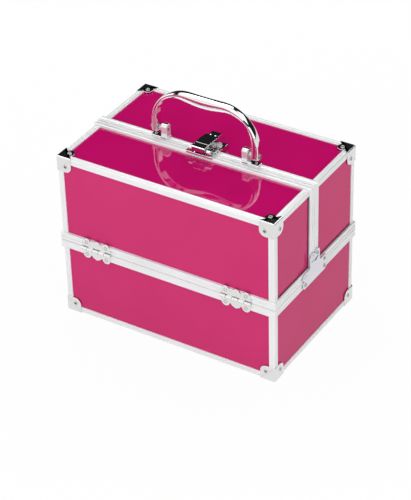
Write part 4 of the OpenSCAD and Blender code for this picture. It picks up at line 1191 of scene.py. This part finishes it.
def plug_shells():
    """A key plug: a barrel, a cap of two halves with the key slot between them, and
    the cam that turns into the tongue."""
    seat, top = (PLUG_X, PLUG_Y, Z_BOARD), LATCH_TOP - Z_BOARD - 0.6
    profile = [(0.05, 0.9), (PLUG, 0.9), (PLUG, top), (0.05, top)]
    barrel = placed(turned(profile), seat, *np.eye(3))
    half = plate(arc((0, 0), PLUG + 0.5, -CAP_ARC, CAP_ARC, 21),
                 LATCH_THICK + CAP_HIGH - CAP_FOOT, 0.25)
    cap = placed(half, (PLUG_X, PLUG_Y, Z_RIM + CAP_FOOT), *np.eye(3))
    other = (cap[0] * [-1, 1, 1] + [2 * PLUG_X, 0, 0], cap[1])
    cam = block((PLUG_X - CAM_HALF, PLUG_Y, Z_BOARD + CAM_LEVEL[0]),
                (PLUG_X + CAM_HALF, LOCK_END - CAM_SHORT, Z_BOARD + CAM_LEVEL[1]))
    return [barrel, cap, other, cam]


add_piece("lock_barrel", plug_shells(), STEEL, "lock_plug", ["lock_plug"], crease=50)
print("plug at", PLUG_X, round(PLUG_Y, 2), "mm")

# %% [markdown]
# ## Trays and mats
# Two moulded trays hang between the lid and a pair of flat arms. A moulding has
# rounded corners and a rolled lip, so each tray is one skin of rounded rectangles
# that goes up outside, over the lip and down inside to the floor. Two dividers part
# it into three, and each part has a felt mat.

# %% Trays
TRAY_HALF, TRAY_DEEP, TRAY_HIGH, WALL = 139.5, 76.0, 28.0, 2.0
MAT, MAT_PLAY, CORNER_POINTS = 1.0, 2.2, 7


def rounded_ring(x, y, low, bend, z):
    """A level rectangle of half width x from low to low + y, with corners of
    radius bend; every ring has the same number of points."""
    spots = [(x - bend, low + y - bend, 0), (bend - x, low + y - bend, 90),
             (bend - x, low + bend, 180), (x - bend, low + bend, 270)]
    flat = np.concatenate([arc((cx, cy), bend, turn, turn + 90, CORNER_POINTS)
                           for cx, cy, turn in spots])
    return np.column_stack([flat, np.full(len(flat), z)])


def tray_shells(front, floor):
    """The moulding: (inset, height, corner radius) of each ring, then two dividers,
    whose section on XZ is thinner at the top."""
    steps = [(2.2, 0.0, 3.0), (0.9, 0.3, 4.0), (0.3, 1.1, 4.5), (0.25, 2.0, 4.6),
             (0.25, TRAY_HIGH - 2.6, 4.6), (0.0, TRAY_HIGH - 2.2, 4.8),
             (0.0, TRAY_HIGH - 0.6, 4.8), (0.3, TRAY_HIGH - 0.1, 4.6), (0.8, TRAY_HIGH, 4.3),
             (1.6, TRAY_HIGH, 3.8), (1.95, TRAY_HIGH - 0.35, 3.4), (WALL, TRAY_HIGH - 1.0, 3.2),
             (WALL + 0.1, 4.5, 3.0), (WALL + 0.6, 2.8, 2.6), (WALL + 2.0, WALL, 1.8)]
    rings = np.stack([rounded_ring(TRAY_HALF - inset, TRAY_DEEP - 2 * inset, front + inset, bend,
                                   floor + z) for inset, z, bend in steps])
    shells = [skin(rings)]
    rim = np.array([[-1.0, 1.2], [1.0, 1.2], [0.75, TRAY_HIGH - 5.0], [0.4, TRAY_HIGH - 4.3],
                    [-0.4, TRAY_HIGH - 4.3], [-0.75, TRAY_HIGH - 5.0]])
    for x in (-TRAY_HALF / 3, TRAY_HALF / 3):
        ends = [np.column_stack([rim[:, 0] + x, np.full(len(rim), y), rim[:, 1] + floor])
                for y in (front + 1.2, front + TRAY_DEEP - 1.2)]
        shells.append(skin(np.stack(ends)))
    return shells


def mat_shells(front, floor):
    """Three felt mats with soft edges, one in each compartment."""
    edge, third = WALL + MAT_PLAY, TRAY_HALF / 3
    y, z = (front + edge, front + TRAY_DEEP - edge), (floor + WALL, floor + WALL + MAT)
    half, near, far = third - 1.6, third + 1.6, TRAY_HALF - edge
    return [slab(x, y, z, 0.5, 2.0) for x in ((-half, half), (near, far), (-far, -near))]


for name, body in (("lower", "lower_tray"), ("upper", "upper_tray")):
    low, high = box_mm("tray_" + name)
    add_piece(name + "_tray_moulding", tray_shells(low[1], low[2]), TRAY, body, ["tray_" + name])
    add_piece(name + "_tray_felt", mat_shells(low[1], low[2]), FELT, body,
              ["tray_" + name + "_mats"])
print("trays", 2 * TRAY_HALF, "x", TRAY_DEEP, "x", TRAY_HIGH, "mm")

# %% [markdown]
# ## Arms
# A flat aluminium arm stands beside the trays at each end and carries both of them on
# pins. It turns with the lid about a line that is parallel to the hinge, so the trays
# stay level. A long plate with round ends, laid along the arm's direction, is enough.

# %% Arms and pins
ARM_HALF, ARM_THICK, ARM_PIN, PIN_INSIDE = 4.5, 2.0, 2.0, 3.2
NEAR_PIN, FAR_PIN, ARM_TURN = 42.0, 97.0, math.radians(35)
ARM_X, ARM_Y, ARM_Z = TRAY_HALF + 2, AXIS_Y + 26.0, AXIS_Z - 5.0
ALONG = (0, math.cos(ARM_TURN), math.sin(ARM_TURN))


def arm_shell():
    """A flat bar with round ends and pressed edges, along the arm's direction."""
    outline = np.concatenate([arc((FAR_PIN, 0), ARM_HALF, -90, 90, 13),
                              arc((0, 0), ARM_HALF, 90, 270, 13)])
    return placed(plate(outline, ARM_THICK, 0.3), (ARM_X, ARM_Y, ARM_Z), ALONG,
                  (0, -ALONG[2], ALONG[1]), (1, 0, 0))


pins = [bar(ARM_PIN, TRAY_HALF - PIN_INSIDE, ARM_X + ARM_THICK, ARM_Y + reach * ALONG[1],
            ARM_Z + reach * ALONG[2]) for reach in (NEAR_PIN, FAR_PIN)]
add_piece("tray_arms", both_sides([arm_shell()]), ALUMINIUM, "arms", ["arms"])
add_piece("tray_arm_pins", both_sides(pins), STEEL, "arms", ["arm_pins"], crease=50)
print("arms of", FAR_PIN + 2 * ARM_HALF, "mm")
